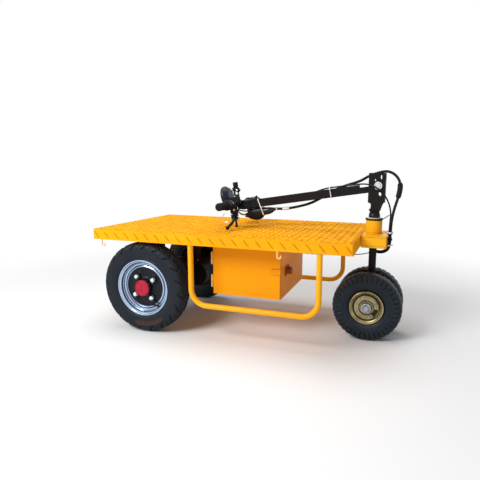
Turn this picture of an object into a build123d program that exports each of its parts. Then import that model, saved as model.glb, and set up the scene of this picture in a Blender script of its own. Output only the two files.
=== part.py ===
from build123d import *
import math
import os

# Electric platform cart, in millimetres, +Z up and +X towards the steered front wheels.
# The origin is on the ground under the middle of the cart, and -Y is its right-hand side.

# Deck
deck_rear_x = -723.0
deck_length = 1250.0
deck_width = 700.0
deck_top_z = 497.0
skirt_depth = 50.0
deck_sheet = 3.0
deck_corner_radius = 12.0
deck_fold_radius = 4.0

# Frame under the deck, of rectangular tube
beam_height = 40.0
beam_width = 30.0
beam_wall = 3.0

# Steering head: a welded box in front of the deck with a bearing tube through it
head_box_length = 111.0
head_box_width = 196.0
head_box_height = 55.0
head_box_drop = 1.0
head_box_wall = 5.0
head_axis_ahead = 46.0
head_tube_radius = 34.0
head_tube_bore = 27.0
head_tube_rise = 64.0
head_ring_radius = 38.5
head_ring_height = 5.0
seal_radius = 33.0
seal_height = 3.0
bearing_height = 14.0
weld_gap = 0.3
running_gap = 0.05

# Side guards of round tube
guard_tube_radius = 12.5
guard_tube_wall = 2.0
guard_from_rear = 517.5
guard_from_front = 139.0
guard_low_z = 168.0
guard_bend_radius = 75.0
guard_side_gap = 1.0

# Rope hooks of bent wire under the skirt
hook_positions = (-676.0, 208.0)
hook_wire_radius = 3.0
hook_drop = 31.0
hook_width = 16.0
hook_rise = 13.0
hook_bend = 6.0

# Battery box
box_rear_x = -147.0
box_length = 332.0
box_width = 416.0
box_bottom_z = 192.0
box_sheet = 3.0
box_lip = 18.0
door_gap = 1.0
door_sheet = 2.0
door_lip = 14.0
door_bottom_gap = 4.0
door_top_gap = 17.0
hinge_pin_radius = 4.0
hinge_knuckle_radius = 8.0
hinge_length = 56.0
hinge_leaf = 22.0
hinge_sheet = 4.0
hinge_heights = (63.0, 174.0)

# Lock: a round barrel on a small plate on the front wall, and a strap on the door
lock_radius = 18.0
lock_depth = 26.0
lock_plate_width = 54.0
lock_plate_height = 46.0
lock_plate_thickness = 3.0
lock_from_door = 112.0
lock_height = 120.0
lock_round = 3.0
strap_height = 26.0
strap_on_door = 41.0
strap_thickness = 3.0
strap_above_lock = 13.0

# Batteries, in a row inside the box
battery_length = 72.0
battery_width = 180.0
battery_height = 168.0
battery_count = 4
battery_gap = 5.0

# Motor controller on the rear wall of the box
controller_depth = 36.0
controller_width = 150.0
controller_height = 120.0
controller_from_hinge = 3.0
controller_centre_z = 292.0
fin_count = 9
fin_groove = 8.0
fin_depth = 14.0

# Rear axle
rear_axle_x = -469.0
axle_tube_radius = 27.5
axle_tube_wall = 10.0
case_radius = 82.0
case_width = 96.0
bracket_thickness = 8.0
bracket_width = 90.0
motor_radius = 62.0
motor_length = 130.0
motor_into_case = 30.0
motor_cap_radius = 48.0
motor_cap_length = 14.0
bracket_below_axle = 20.0

# Rear wheels
rear_tyre_radius = 220.0
rear_tyre_width = 96.0
rear_outer_y = 338.5
rear_rim_radius = 136.5
rear_rim_width = 80.0
rear_seat_radius = 127.0
rear_well_radius = 110.0
rim_sheet = 4.0
rear_disc_depth = 36.0
rear_disc_radius = 95.0
rear_disc_thickness = 8.0
rear_socket_circle = 65.0
rear_socket_radius = 17.0
rear_socket_height = 9.0
rear_socket_count = 4
rear_socket_start = 40.0
disc_dish = 6.0
drum_radius = 84.0
drum_depth = 40.0
drum_wall = 6.0
drum_web = 8.0
stub_length = 60.0
hub_cap_radius = 40.0
hub_cap_height = 15.0
hub_cap_chamfer = 4.0
backplate_radius = 84.0
backplate_thickness = 4.0
moving_gap = 5.0
rim_lip = 2.0
rim_well_share = 0.16
rim_ramp_share = 0.26

# Rear tyre's section: distances down from the crown, and in from its widest
carcass = 9.0
crown = 14.0
rear_tyre_facets = 40
rear_bead_rise = 20.0
rear_bead_inset = 1.0
rear_wall_down = 36.0
rear_shoulder_down, rear_shoulder_in = 14.0, 8.0
rear_edge_down, rear_edge_in = 3.0, 24.0
rear_liner_down = 40.0

# Front twin wheels
front_axle_trail = 10.0
front_tyre_radius = 160.0
front_tyre_width = 78.0
front_wheel_y = 64.0
front_rim_radius = 78.0
front_rim_width = 60.0
front_seat_radius = 69.0
front_axle_radius = 10.0
axle_stub = 12.0
front_well_radius = 58.0
front_web_radius = 55.0
front_web_thickness = 4.0
front_hub_radius = 27.0
front_hub_neck = 19.0
front_hub_length = 66.0
hub_flange_inner = 6.0
hub_flange_outer = 10.0

# Front tyre's section and its fused lugs, measured as the rear one's
front_tyre_facets = 36
front_bead_rise = 18.0
front_wall_down = 28.0
front_shoulder_down, front_shoulder_in = 6.0, 9.0
front_liner_down = 18.0
lug_count = 24
lug_length = 29.0
lug_inner_y = 5.0
lug_outer_y = 36.0
lug_stand = 5.0
lug_crown_drop, lug_crown_in = 2.0, 10.0
lug_shoulder_down, lug_shoulder_out = 10.0, 1.0
lug_foot_down = 26.0

# Steering post
post_radius = 17.5
post_bottom_z = 132.0
post_foot_rise = 30.0
gusset_half_length = 26.0
gusset_thickness = 10.0
gusset_top_z = 318.0

# Steering yoke on the post, which carries the tow arm
collar_radius = 23.0
collar_height = 23.0
collar_gap = 1.0
neck_radius = 22.5
neck_height = 14.0
yoke_gap = 5.5
yoke_plate = 6.0
# Along the yoke from the head axis, and up it from the top of its floor
yoke_foot_rear = -17.0
yoke_foot_front = 27.0
yoke_rear = -30.0
yoke_front = 44.5
yoke_foot_height = 33.0
yoke_floor_thickness = 16.0
yoke_height = 117.0
yoke_web_height = 89.0
yoke_foot_step = 6.0
yoke_foot_flare = 3.0
yoke_foot_bend = 20.0
yoke_shoulder = 10.0
yoke_slot_place = (23.6, 98.5)
yoke_slot_size = (9.0, 19.0)
yoke_hole_place = (-2.5, 85.0)
yoke_hole_radius = 5.0
yoke_oval_place = (20.5, 21.3)
yoke_oval_size = (15.0, 20.0)
pivot_ahead = 12.5
pivot_height = 60.0
pivot_bolt_radius = 8.0
pivot_head_radius = 18.0
pivot_head_height = 8.0

# Tow arm, drooping back over the deck; distances are back from the pivot and up from it
arm_droop = 8.95
arm_side = 40.0
arm_wall = 3.0
arm_drop = 6.0
arm_length = 698.0
tongue_length = 86.0
tongue_height = 28.0
tongue_overlap = 24.0
eye_radius = 20.0
arm_end_wall = 28.0
arm_end_round = 12.0

# Handlebar in a clamp at the end of the arm, with grips, brake levers, key switch and display
handlebar_length = 492.0
handlebar_radius = 11.0
bar_inset = 3.0
bar_above_tube = 11.4
bar_clamp_radius = 15.5
grip_radius = 18.7
grip_length = 118.0
grip_end = 4.0
perch_y = 100.0
perch_width = 22.0
perch_radius = 16.0
perch_depth = 74.0
perch_thickness = 30.0
perch_back = 2.0
perch_round = 8.0
# Places on the bar: forwards, outwards and up from its axis
lever_root = (12.0, -62.0)
lever_bends = ((25.0, 150.0, -70.0), (22.0, 178.0, -84.0))
lever_ball_place = (8.0, 205.0, -102.0)
lever_bend_radius = 30.0
lever_radius = 6.5
lever_ball_radius = 9.5
parking_root = (16.0, 108.0, -64.0)
parking_ball_place = (12.0, 104.0, -105.0)
parking_radius = 5.0
parking_ball_radius = 7.5
switch_y = 31.0
switch_width = 24.0
switch_stem = 12.0
switch_forward = 7.0
switch_barrel_radius = 13.0
switch_barrel_height = 24.0
switch_height = 83.0
switch_knob_radius = 10.0
switch_knob_forward = 21.0
switch_knob_drop = 17.0
pod_radius = 55.0
pod_back_radius = 42.0
pod_thickness = 45.0
pod_behind_bar = 60.0
pod_above_bar = 40.6
pod_tilt = 6.0
pod_back_step = (2.0, 6.0)
pod_rim_height = 9.0
# Dome of the display: in from its rim, and up from its middle
pod_dome = ((4.0, 13.0), (14.0, 18.0), (30.0, 21.5))
pod_ear_width = 8.0
pod_ear_y = 22.0

# Cables: outer radii; the routes are lists of chosen points further down
main_cable_radius = 6.4
bundle_radius = 8.0
brake_cable_radius = 3.5
lever_cable_radius = 3.0
sleeve_radius = 12.0
sleeve_start = 0.36
sleeve_end = 0.56
pod_lead_radius = 2.2
brake_wire_radius = 2.3
joiner_ahead = 10.0
joiner_y = -20.0
joiner_top_z = 508.0
joiner_radius = 12.5
joiner_height = 10.0
clip_ahead = 10.6
clip_y = -18.3
clip_low_z = 468.0
clip_height = 10.0
clip_wall = 1.6
clip_slack = 0.8
clip_foot = 34.0

# Soft boots under the rear of the arm, where the handlebar's cables join
boot_half_width = 20.0
boot_front = 568.0
boot_cone_length = 62.0
boot_cone_radius = 19.0
boot_cone_taper = ((2.0, 30.0), (6.0, 10.0))
boot_tip_wall = 1.5
boot_round = 7.0
boot_neck_radius = 9.0
boot_neck_reach = 100.0
boot_neck_drop = 31.0
# Outline of the bag: back from its front, and down from its top
boot_outline = ((0.0, 0.0), (82.0, 0.0), (89.0, 28.0), (76.0, 51.0), (48.0, 60.0), (14.0, 55.0), (0.0, 38.0))

# Places that follow from the sizes above
deck_front_x = deck_rear_x + deck_length
deck_under_z = deck_top_z - deck_sheet
skirt_bottom_z = deck_top_z - skirt_depth
beam_bottom_z = deck_under_z - beam_height
box_front_x = box_rear_x + box_length
rail_y = box_width / 2 - beam_width / 2
guard_y = deck_width / 2 - deck_sheet - guard_side_gap - guard_tube_radius
guard_rear_x = deck_rear_x + guard_from_rear
guard_front_x = deck_front_x - guard_from_front
head_front_x = deck_front_x + head_box_length
head_axis_x = deck_front_x + head_axis_ahead
head_box_top_z = deck_top_z - head_box_drop
head_box_bottom_z = head_box_top_z - head_box_height
head_tube_top_z = deck_top_z + head_tube_rise
head_seal_top_z = head_tube_top_z + head_ring_height + seal_height
door_top_z = beam_bottom_z - door_top_gap
front_axle_x = head_axis_x - front_axle_trail
cross_positions = [
    deck_rear_x + deck_corner_radius + beam_width / 2,
    rear_axle_x,
    guard_rear_x,
    guard_front_x,
    deck_front_x - deck_corner_radius - beam_width / 2,
]

os.makedirs("parts", exist_ok=True)


def save(node, shape):
    export_step(shape, f"parts/{node}.step")
    print(node, round(shape.volume / 1000, 1), "cm3")


def block(x_low, x_high, y_low, y_high, z_low, z_high):
    middle = Pos((x_low + x_high) / 2, (y_low + y_high) / 2, (z_low + z_high) / 2)
    return middle * Box(x_high - x_low, y_high - y_low, z_high - z_low)


def upright(x, y, z_low, z_high, radius):
    return Pos(x, y, (z_low + z_high) / 2) * Cylinder(radius, z_high - z_low)


def crosswise(x, z, y_low, y_high, radius):
    return Pos(x, (y_low + y_high) / 2, z) * Rot(90, 0, 0) * Cylinder(radius, y_high - y_low)


def tube_beam(x_low, x_high, y_low, y_high, z_low, z_high, wall, along_x):
    """Rectangular tube with open ends."""
    outer = block(x_low, x_high, y_low, y_high, z_low, z_high)
    trim_x = 0 if along_x else wall
    trim_y = wall if along_x else 0
    hollow = block(
        x_low + trim_x, x_high - trim_x, y_low + trim_y, y_high - trim_y, z_low + wall, z_high - wall
    )
    return outer - hollow


def turned(points):
    """Solid of revolution about the Y axis from (radius, y) points."""
    return revolve(make_face(Polyline(*points, close=True)), Axis.Y)


def both_sides(shape):
    """The shape and its mirror image across the middle plane."""
    return Compound([shape, mirror(shape, Plane.XZ)])


# Deck: one chequer-plate sheet folded down into a skirt all round
deck_middle = Pos((deck_rear_x + deck_front_x) / 2, 0, skirt_bottom_z)
deck_outline = RectangleRounded(deck_length, deck_width, deck_corner_radius)
deck_inline = RectangleRounded(
    deck_length - 2 * deck_sheet, deck_width - 2 * deck_sheet, deck_corner_radius - deck_sheet
)
deck_block = extrude(deck_outline, skirt_depth)
deck_block = fillet(deck_block.faces().sort_by(Axis.Z)[-1].edges(), deck_fold_radius)
deck_plate = deck_middle * (deck_block - extrude(deck_inline, skirt_depth - deck_sheet))
save("deck_plate", deck_plate)

# Frame: cross members the full width inside the skirt, and rails between them
inner_half_width = deck_width / 2 - deck_sheet
cross_members = Compound([
    tube_beam(
        x - beam_width / 2, x + beam_width / 2, -inner_half_width, inner_half_width,
        beam_bottom_z, deck_under_z, beam_wall, False,
    )
    for x in cross_positions
])
save("frame_cross_members", cross_members)
frame_rails = Compound([
    tube_beam(
        rear + beam_width / 2, front - beam_width / 2,
        side * rail_y - beam_width / 2, side * rail_y + beam_width / 2,
        beam_bottom_z, deck_under_z, beam_wall, True,
    )
    for side in (-1, 1)
    for rear, front in zip(cross_positions, cross_positions[1:])
])
save("frame_rails", frame_rails)

# Steering head
half_head = head_box_width / 2
head_box = block(deck_front_x, head_front_x, -half_head, half_head, head_box_bottom_z, head_box_top_z)
head_box = fillet(head_box.edges().filter_by(Axis.Z).group_by(Axis.X)[-1], head_box_wall)
head_box -= block(
    deck_front_x + head_box_wall, head_front_x - head_box_wall,
    -half_head + head_box_wall, half_head - head_box_wall,
    head_box_bottom_z + head_box_wall, head_box_top_z - head_box_wall,
)
head_box -= upright(head_axis_x, 0, head_box_bottom_z, head_box_top_z, head_tube_radius + weld_gap)
save("head_box", head_box)

head_tube = upright(head_axis_x, 0, head_box_bottom_z, head_tube_top_z, head_tube_radius)
head_tube -= upright(head_axis_x, 0, head_box_bottom_z, head_tube_top_z, head_tube_bore)
save("head_tube", head_tube)

bearing_hole = post_radius + running_gap
bearing_outer = head_tube_bore - weld_gap
bearing_lower = upright(
    head_axis_x, 0, head_box_bottom_z, head_box_bottom_z + bearing_height, bearing_outer
)
bearing_lower -= upright(
    head_axis_x, 0, head_box_bottom_z, head_box_bottom_z + bearing_height, bearing_hole
)
bearing_upper = upright(
    head_axis_x, 0, head_tube_top_z - bearing_height, head_tube_top_z, bearing_outer
)
bearing_upper += upright(
    head_axis_x, 0, head_tube_top_z, head_tube_top_z + head_ring_height, head_ring_radius
)
bearing_upper += upright(
    head_axis_x, 0, head_tube_top_z + head_ring_height, head_seal_top_z, seal_radius
)
bearing_upper -= upright(
    head_axis_x, 0, head_tube_top_z - bearing_height, head_seal_top_z, bearing_hole
)
save("head_bearings", Compound([bearing_lower, bearing_upper]))


# Side guards: one U of round tube on each side, up to the cross members
def guard(y):
    route = FilletPolyline(
        (guard_rear_x, y, beam_bottom_z), (guard_rear_x, y, guard_low_z),
        (guard_front_x, y, guard_low_z), (guard_front_x, y, beam_bottom_z),
        radius=guard_bend_radius,
    )
    section = Plane(origin=route @ 0, z_dir=route % 0)
    ring = Circle(guard_tube_radius) - Circle(guard_tube_radius - guard_tube_wall)
    return sweep(section * ring, path=route)


save("side_guards", Compound([guard(-guard_y), guard(guard_y)]))

# Rope hooks under the skirt on both sides
hook_y = deck_width / 2 - deck_sheet - hook_wire_radius - weld_gap
hook_foot_z = skirt_bottom_z - hook_drop
hooks = []
for hook_x in hook_positions:
    hook_route = FilletPolyline(
        (hook_x, -hook_y, deck_under_z - weld_gap), (hook_x, -hook_y, hook_foot_z),
        (hook_x + hook_width, -hook_y, hook_foot_z), (hook_x + hook_width, -hook_y, hook_foot_z + hook_rise),
        radius=hook_bend,
    )
    hook_section = Plane(origin=hook_route @ 0, z_dir=hook_route % 0)
    hooks.append(sweep(hook_section * Circle(hook_wire_radius), path=hook_route))
save("rope_hooks", Compound(hooks + [mirror(hook, Plane.XZ) for hook in hooks]))

# Battery box: folded sheet, open to the right, with a door there
half_box = box_width / 2
battery_box = block(box_rear_x, box_front_x, -half_box, half_box, box_bottom_z, beam_bottom_z)
battery_box -= block(
    box_rear_x + box_sheet, box_front_x - box_sheet, -half_box + box_sheet, half_box - box_sheet,
    box_bottom_z + box_sheet, beam_bottom_z - box_sheet,
)
doorway_low_z = box_bottom_z + box_lip
doorway_top_z = door_top_z - box_lip
battery_box -= block(
    box_rear_x + box_lip, box_front_x - box_lip, -half_box, -half_box + box_sheet,
    doorway_low_z, doorway_top_z,
)
save("battery_box", battery_box)

row_length = battery_count * battery_length + (battery_count - 1) * battery_gap
row_rear_x = (box_rear_x + box_front_x - row_length) / 2
battery_floor_z = box_bottom_z + box_sheet
batteries = Compound([
    block(
        row_rear_x + index * (battery_length + battery_gap),
        row_rear_x + index * (battery_length + battery_gap) + battery_length,
        -battery_width / 2, battery_width / 2,
        battery_floor_z, battery_floor_z + battery_height,
    )
    for index in range(battery_count)
])
save("batteries", batteries)

# Door: a shallow tray over the doorway, hinged at its rear edge
hinge_y = -half_box - hinge_knuckle_radius - door_gap
hinge_x = box_rear_x - hinge_knuckle_radius
door_outer_y = -half_box - door_gap - door_lip
door_low_z = box_bottom_z + door_bottom_gap
door_rear_x = box_rear_x + door_gap
door_front_x = box_front_x
door = block(door_rear_x, door_front_x, door_outer_y, -half_box - door_gap, door_low_z, door_top_z)
door -= block(
    door_rear_x + door_sheet, door_front_x - door_sheet,
    door_outer_y + door_sheet, -half_box - door_gap,
    door_low_z + door_sheet, door_top_z - door_sheet,
)
save("battery_door", door)

fixed_leaves = []
moving_leaves = []
for hinge_height in hinge_heights:
    middle = box_bottom_z + hinge_height
    low = middle - hinge_length / 2
    high = middle + hinge_length / 2
    pin = upright(hinge_x, hinge_y, low, high, hinge_pin_radius)
    lower = upright(hinge_x, hinge_y, low, middle - weld_gap, hinge_knuckle_radius)
    lower += block(
        hinge_x - hinge_knuckle_radius, hinge_x - hinge_knuckle_radius + hinge_sheet,
        hinge_y, -half_box + hinge_leaf, low, middle - weld_gap,
    )
    lower += block(
        hinge_x - hinge_knuckle_radius, box_rear_x, -half_box + hinge_sheet, -half_box + hinge_leaf,
        low, middle - weld_gap,
    )
    lower += pin
    fixed_leaves.append(lower)
    upper = upright(hinge_x, hinge_y, middle + weld_gap, high, hinge_knuckle_radius)
    upper += block(
        hinge_x, door_rear_x, door_outer_y, hinge_y, middle + weld_gap, high
    )
    upper -= upright(hinge_x, hinge_y, middle, high, hinge_pin_radius + running_gap)
    moving_leaves.append(upper)
save("hinge_pins", Compound(fixed_leaves))
save("door_hinges", Compound(moving_leaves))

lock_y = door_outer_y + lock_from_door
lock_z = box_bottom_z + lock_height
lock_place = Pos(box_front_x + lock_depth / 2, lock_y, lock_z) * Rot(0, 90, 0)
lock_barrel = lock_place * Cylinder(lock_radius, lock_depth)
lock_barrel = fillet(lock_barrel.edges().sort_by(Axis.X)[-1], lock_round)
lock_body = lock_barrel + block(
    box_front_x, box_front_x + lock_plate_thickness,
    lock_y - lock_plate_width / 2, lock_y + lock_plate_width / 2,
    lock_z - lock_plate_height / 2, lock_z + lock_plate_height / 2,
)
save("lock_body", lock_body)
strap_z = lock_z + strap_above_lock
door_strap = block(
    box_front_x - strap_on_door, box_front_x + strap_thickness,
    door_outer_y - strap_thickness, door_outer_y, strap_z - strap_height / 2, strap_z + strap_height / 2,
)
save("door_strap", door_strap)

controller_low_y = -half_box + hinge_leaf + controller_from_hinge
controller = block(
    box_rear_x - controller_depth, box_rear_x,
    controller_low_y, controller_low_y + controller_width,
    controller_centre_z - controller_height / 2, controller_centre_z + controller_height / 2,
)
for index in range(fin_count):
    groove_y = controller_low_y + (index + 1) * controller_width / fin_count - fin_groove
    controller -= block(
        box_rear_x - controller_depth, box_rear_x - controller_depth + fin_depth,
        groove_y, groove_y + fin_groove,
        controller_centre_z - controller_height / 2, controller_centre_z + controller_height / 2,
    )
save("motor_controller", controller)

# Rear axle: housing with the gear case in the middle, brackets up to the rails, brake backplates
rear_axle_z = rear_tyre_radius
rear_wheel_y = rear_outer_y - rear_tyre_width / 2
backplate_outer_y = rear_outer_y - rear_disc_depth - rear_disc_thickness - drum_depth - moving_gap
backplate_inner_y = backplate_outer_y - backplate_thickness
axle_bore = axle_tube_radius - axle_tube_wall
axle_housing = crosswise(rear_axle_x, rear_axle_z, -backplate_inner_y, backplate_inner_y, axle_tube_radius)
axle_housing += crosswise(rear_axle_x, rear_axle_z, -case_width / 2, case_width / 2, case_radius)
axle_housing -= crosswise(
    rear_axle_x, rear_axle_z, case_width / 2, backplate_inner_y, axle_bore
)
axle_housing -= crosswise(
    rear_axle_x, rear_axle_z, -backplate_inner_y, -case_width / 2, axle_bore
)
save("axle_housing", axle_housing)

motor_x = rear_axle_x + case_radius + motor_radius - motor_into_case
motor_end_y = case_width / 2 + motor_length
motor = crosswise(motor_x, rear_axle_z, 0, motor_end_y, motor_radius)
motor += crosswise(motor_x, rear_axle_z, motor_end_y, motor_end_y + motor_cap_length, motor_cap_radius)
motor -= crosswise(rear_axle_x, rear_axle_z, -case_width, case_width, case_radius + weld_gap)
save("drive_motor", motor)

saddle_height = axle_tube_radius + weld_gap
brackets = []
for bracket_y in (-rail_y, rail_y):
    plate = block(
        rear_axle_x - bracket_width / 2, rear_axle_x + bracket_width / 2,
        bracket_y - bracket_thickness / 2, bracket_y + bracket_thickness / 2,
        rear_axle_z - bracket_below_axle, beam_bottom_z,
    )
    web = block(
        rear_axle_x - bracket_thickness / 2, rear_axle_x + bracket_thickness / 2,
        bracket_y - beam_width / 2, bracket_y + beam_width / 2,
        rear_axle_z, beam_bottom_z,
    )
    bracket = plate + web
    bracket -= crosswise(
        rear_axle_x, rear_axle_z, bracket_y - beam_width, bracket_y + beam_width, saddle_height
    )
    brackets.append(bracket)
save("axle_brackets", Compound(brackets))

backplate = crosswise(
    rear_axle_x, rear_axle_z, backplate_inner_y, backplate_outer_y, backplate_radius
)
backplate -= crosswise(rear_axle_x, rear_axle_z, backplate_inner_y, backplate_outer_y, axle_bore)
save("brake_backplates", both_sides(backplate))


def tyre(profile, facets, mid_radius):
    """Hollow tyre about the Y axis, of flat facets, from the (radius, y) points of its section."""
    step = 2 * math.pi / facets
    reach = mid_radius / math.cos(step / 2)
    corners = [
        (reach * math.cos((index + 0.5) * step), 0, reach * math.sin((index + 0.5) * step))
        for index in range(facets)
    ]
    start = (mid_radius, 0, 0)
    path = Wire(Polyline(start, *corners, start).edges())
    return sweep(make_face(Polyline(*profile, close=True)), path=path, transition=Transition.RIGHT)


def both_halves(points):
    """A section's (radius, y) points from one bead over the crown to the other bead."""
    return points + [(radius, -y) for radius, y in reversed(points) if y > 0]


def rim_profile(flange_radius, width, seat_radius, well_radius, sheet):
    """Pressed rim barrel: flanges, bead seats and a dropped well, as (radius, y) points."""
    half = width / 2
    well = width * rim_well_share
    ramp = width * rim_ramp_share
    seat = half - sheet
    outer = [
        (flange_radius, -half), (flange_radius, -seat), (seat_radius, -seat), (seat_radius, -ramp),
        (well_radius, -well), (well_radius, well), (seat_radius, ramp), (seat_radius, seat),
        (flange_radius, seat), (flange_radius, half),
    ]
    inner = [
        (seat_radius - sheet, half), (seat_radius - sheet, ramp), (well_radius - sheet, well),
        (well_radius - sheet, -well), (seat_radius - sheet, -ramp), (seat_radius - sheet, -half),
    ]
    return outer + inner


# Rear wheels, built with +Y outwards and then set on each side
rear_half = rear_tyre_width / 2
disc_face = rear_half - rear_disc_depth
rear_bead = rear_rim_width / 2 - rim_sheet - weld_gap
rear_tyre = tyre(
    both_halves([
        (rear_seat_radius + weld_gap, rear_bead), (rear_rim_radius + rim_lip, rear_bead),
        (rear_rim_radius + rear_bead_rise, rear_half - rear_bead_inset),
        (rear_tyre_radius - rear_wall_down, rear_half),
        (rear_tyre_radius - rear_shoulder_down, rear_half - rear_shoulder_in),
        (rear_tyre_radius - rear_edge_down, rear_half - rear_edge_in), (rear_tyre_radius, 0),
    ]) + [
        (rear_seat_radius + weld_gap, carcass - rear_bead),
        (rear_tyre_radius - rear_liner_down, carcass - rear_half),
        (rear_tyre_radius - crown, rear_edge_in - rear_half),
        (rear_tyre_radius - crown, rear_half - rear_edge_in),
        (rear_tyre_radius - rear_liner_down, rear_half - carcass),
        (rear_seat_radius + weld_gap, rear_bead - carcass),
    ],
    rear_tyre_facets, (rear_tyre_radius + rear_rim_radius) / 2,
)
rear_rim = turned(rim_profile(
    rear_rim_radius, rear_rim_width, rear_seat_radius, rear_well_radius, rim_sheet
))
well_inside = rear_well_radius - rim_sheet
rear_disc = turned([
    (0, disc_face), (rear_disc_radius, disc_face), (well_inside - weld_gap, disc_face - disc_dish),
    (well_inside - weld_gap, disc_face - disc_dish - rear_disc_thickness),
    (rear_disc_radius, disc_face - rear_disc_thickness), (0, disc_face - rear_disc_thickness),
])
for index in range(rear_socket_count):
    angle = math.radians(rear_socket_start + 360 / rear_socket_count * index)
    socket_x = rear_socket_circle * math.cos(angle)
    socket_z = rear_socket_circle * math.sin(angle)
    rear_disc += crosswise(
        socket_x, socket_z, disc_face, disc_face + rear_socket_height, rear_socket_radius
    )
hub_cap = turned([
    (0, disc_face), (hub_cap_radius, disc_face),
    (hub_cap_radius, disc_face + hub_cap_height - hub_cap_chamfer),
    (hub_cap_radius - hub_cap_chamfer, disc_face + hub_cap_height), (0, disc_face + hub_cap_height),
])
drum_outer = disc_face - rear_disc_thickness
drum = turned([
    (0, drum_outer), (drum_radius, drum_outer), (drum_radius, drum_outer - drum_depth),
    (drum_radius - drum_wall, drum_outer - drum_depth), (drum_radius - drum_wall, drum_outer - drum_web),
    (axle_bore - running_gap, drum_outer - drum_web),
    (axle_bore - running_gap, drum_outer - drum_depth - stub_length),
    (0, drum_outer - drum_depth - stub_length),
])
for side, turn, sign in (("right", 180, -1), ("left", 0, 1)):
    place = Pos(rear_axle_x, sign * rear_wheel_y, rear_axle_z) * Rot(0, 0, turn)
    save(f"rear_tyre_{side}", place * rear_tyre)
    save(f"rear_rim_{side}", place * rear_rim)
    save(f"rear_wheel_disc_{side}", place * rear_disc)
    save(f"rear_hub_{side}", place * drum)
    save(f"hub_cap_{side}", place * hub_cap)

# Front twin wheels on one axle, one on each side of the post
front_axle_z = front_tyre_radius
front_half = front_tyre_width / 2
front_bead = front_rim_width / 2 - rim_sheet - weld_gap
tread_radius = front_tyre_radius - lug_stand
front_tyre = tyre(
    both_halves([
        (front_seat_radius + weld_gap, front_bead), (front_rim_radius + rim_lip, front_bead),
        (front_rim_radius + front_bead_rise, front_half), (tread_radius - front_wall_down, front_half),
        (tread_radius - front_shoulder_down, front_half - front_shoulder_in), (tread_radius, 0),
    ]) + [
        (front_seat_radius + weld_gap, carcass - front_bead),
        (tread_radius - front_liner_down, carcass - front_half),
        (tread_radius - front_liner_down, front_half - carcass),
        (front_seat_radius + weld_gap, front_bead - carcass),
    ],
    front_tyre_facets, (tread_radius + front_rim_radius) / 2,
)
lug_section = make_face(Plane.XY * Polyline(
    (tread_radius - lug_stand, lug_inner_y), (front_tyre_radius, lug_inner_y),
    (front_tyre_radius - lug_crown_drop, lug_outer_y - lug_crown_in),
    (tread_radius - lug_shoulder_down, lug_outer_y + lug_shoulder_out),
    (tread_radius - lug_foot_down, front_half - lug_shoulder_out), close=True,
))
lug = extrude(lug_section, lug_length / 2, both=True)
lug &= crosswise(0, 0, 0, front_tyre_width, front_tyre_radius)
lugs = []
for index in range(lug_count):
    turn = 360 / lug_count * index
    lugs.append(Rot(0, turn, 0) * lug)
    lugs.append(Rot(0, turn + 180 / lug_count, 0) * mirror(lug, Plane.XZ))
front_tyre = front_tyre.fuse(*lugs)
front_rim = turned(rim_profile(
    front_rim_radius, front_rim_width, front_seat_radius, front_well_radius, rim_sheet
))
rim_web_inner = front_hub_radius + weld_gap
front_rim += turned([
    (rim_web_inner, 0), (front_web_radius, 0), (front_web_radius, front_web_thickness),
    (rim_web_inner, front_web_thickness),
])
hub_half = front_hub_length / 2
front_hub = turned([
    (front_axle_radius + running_gap, -hub_half), (front_hub_neck, -hub_half),
    (front_hub_neck, -hub_flange_inner), (front_hub_radius, -hub_flange_inner),
    (front_hub_radius, hub_flange_outer),
    (front_hub_neck, hub_flange_outer), (front_hub_neck, hub_half),
    (front_axle_radius + running_gap, hub_half),
])
front_places = [
    Pos(front_axle_x, sign * front_wheel_y, front_axle_z) * Rot(0, 0, turn)
    for turn, sign in ((180, -1), (0, 1))
]
save("front_tyres", Compound([place * front_tyre for place in front_places]))
save("front_rims", Compound([place * front_rim for place in front_places]))
save("front_hubs", Compound([place * front_hub for place in front_places]))

axle_end_y = front_wheel_y + hub_half + axle_stub
front_axle = crosswise(front_axle_x, front_axle_z, -axle_end_y, axle_end_y, front_axle_radius)
save("front_axle", front_axle)

# Steering post: shaft with a foot between the wheels and a fin up its rear
collar_low_z = head_seal_top_z + collar_gap
collar_top_z = collar_low_z + collar_height
post = upright(head_axis_x, 0, post_bottom_z, collar_low_z, post_radius)
foot_half_width = front_wheel_y - front_tyre_width / 2 - moving_gap
foot = block(
    front_axle_x - gusset_half_length, front_axle_x + gusset_half_length,
    -foot_half_width, foot_half_width, post_bottom_z, front_axle_z + post_foot_rise,
)
fin = block(
    front_axle_x - gusset_half_length, head_axis_x + gusset_half_length,
    -gusset_thickness / 2, gusset_thickness / 2, front_axle_z, gusset_top_z,
)
post += foot + fin
post -= crosswise(
    front_axle_x, front_axle_z, -foot_half_width, foot_half_width, front_axle_radius + weld_gap
)
save("steering_post", post)

# Yoke: collar nut, round neck, then two cut-out plates joined by a floor and a front web
plate_inner = arm_side / 2 + yoke_gap
plate_outer = plate_inner + yoke_plate
neck_top_z = collar_top_z + neck_height
yoke_waist_z = neck_top_z + yoke_foot_height
yoke_floor_z = yoke_waist_z + yoke_floor_thickness
yoke_top_z = yoke_floor_z + yoke_height
yoke_rear_x = head_axis_x + yoke_rear
yoke_front_x = head_axis_x + yoke_front
yoke_foot_rear_x = head_axis_x + yoke_foot_rear
yoke_foot_front_x = head_axis_x + yoke_foot_front
pivot_x = head_axis_x + pivot_ahead
pivot_z = yoke_floor_z + pivot_height
yoke = extrude(Pos(head_axis_x, 0, collar_low_z) * RegularPolygon(collar_radius, 6), collar_height)
yoke += upright(head_axis_x, 0, collar_top_z, neck_top_z, neck_radius)
yoke += block(
    yoke_foot_rear_x, yoke_foot_front_x, -plate_inner, plate_inner, neck_top_z, yoke_floor_z
)
yoke += block(
    yoke_rear_x, yoke_front_x, -plate_inner, plate_inner, yoke_waist_z, yoke_floor_z
)
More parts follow.
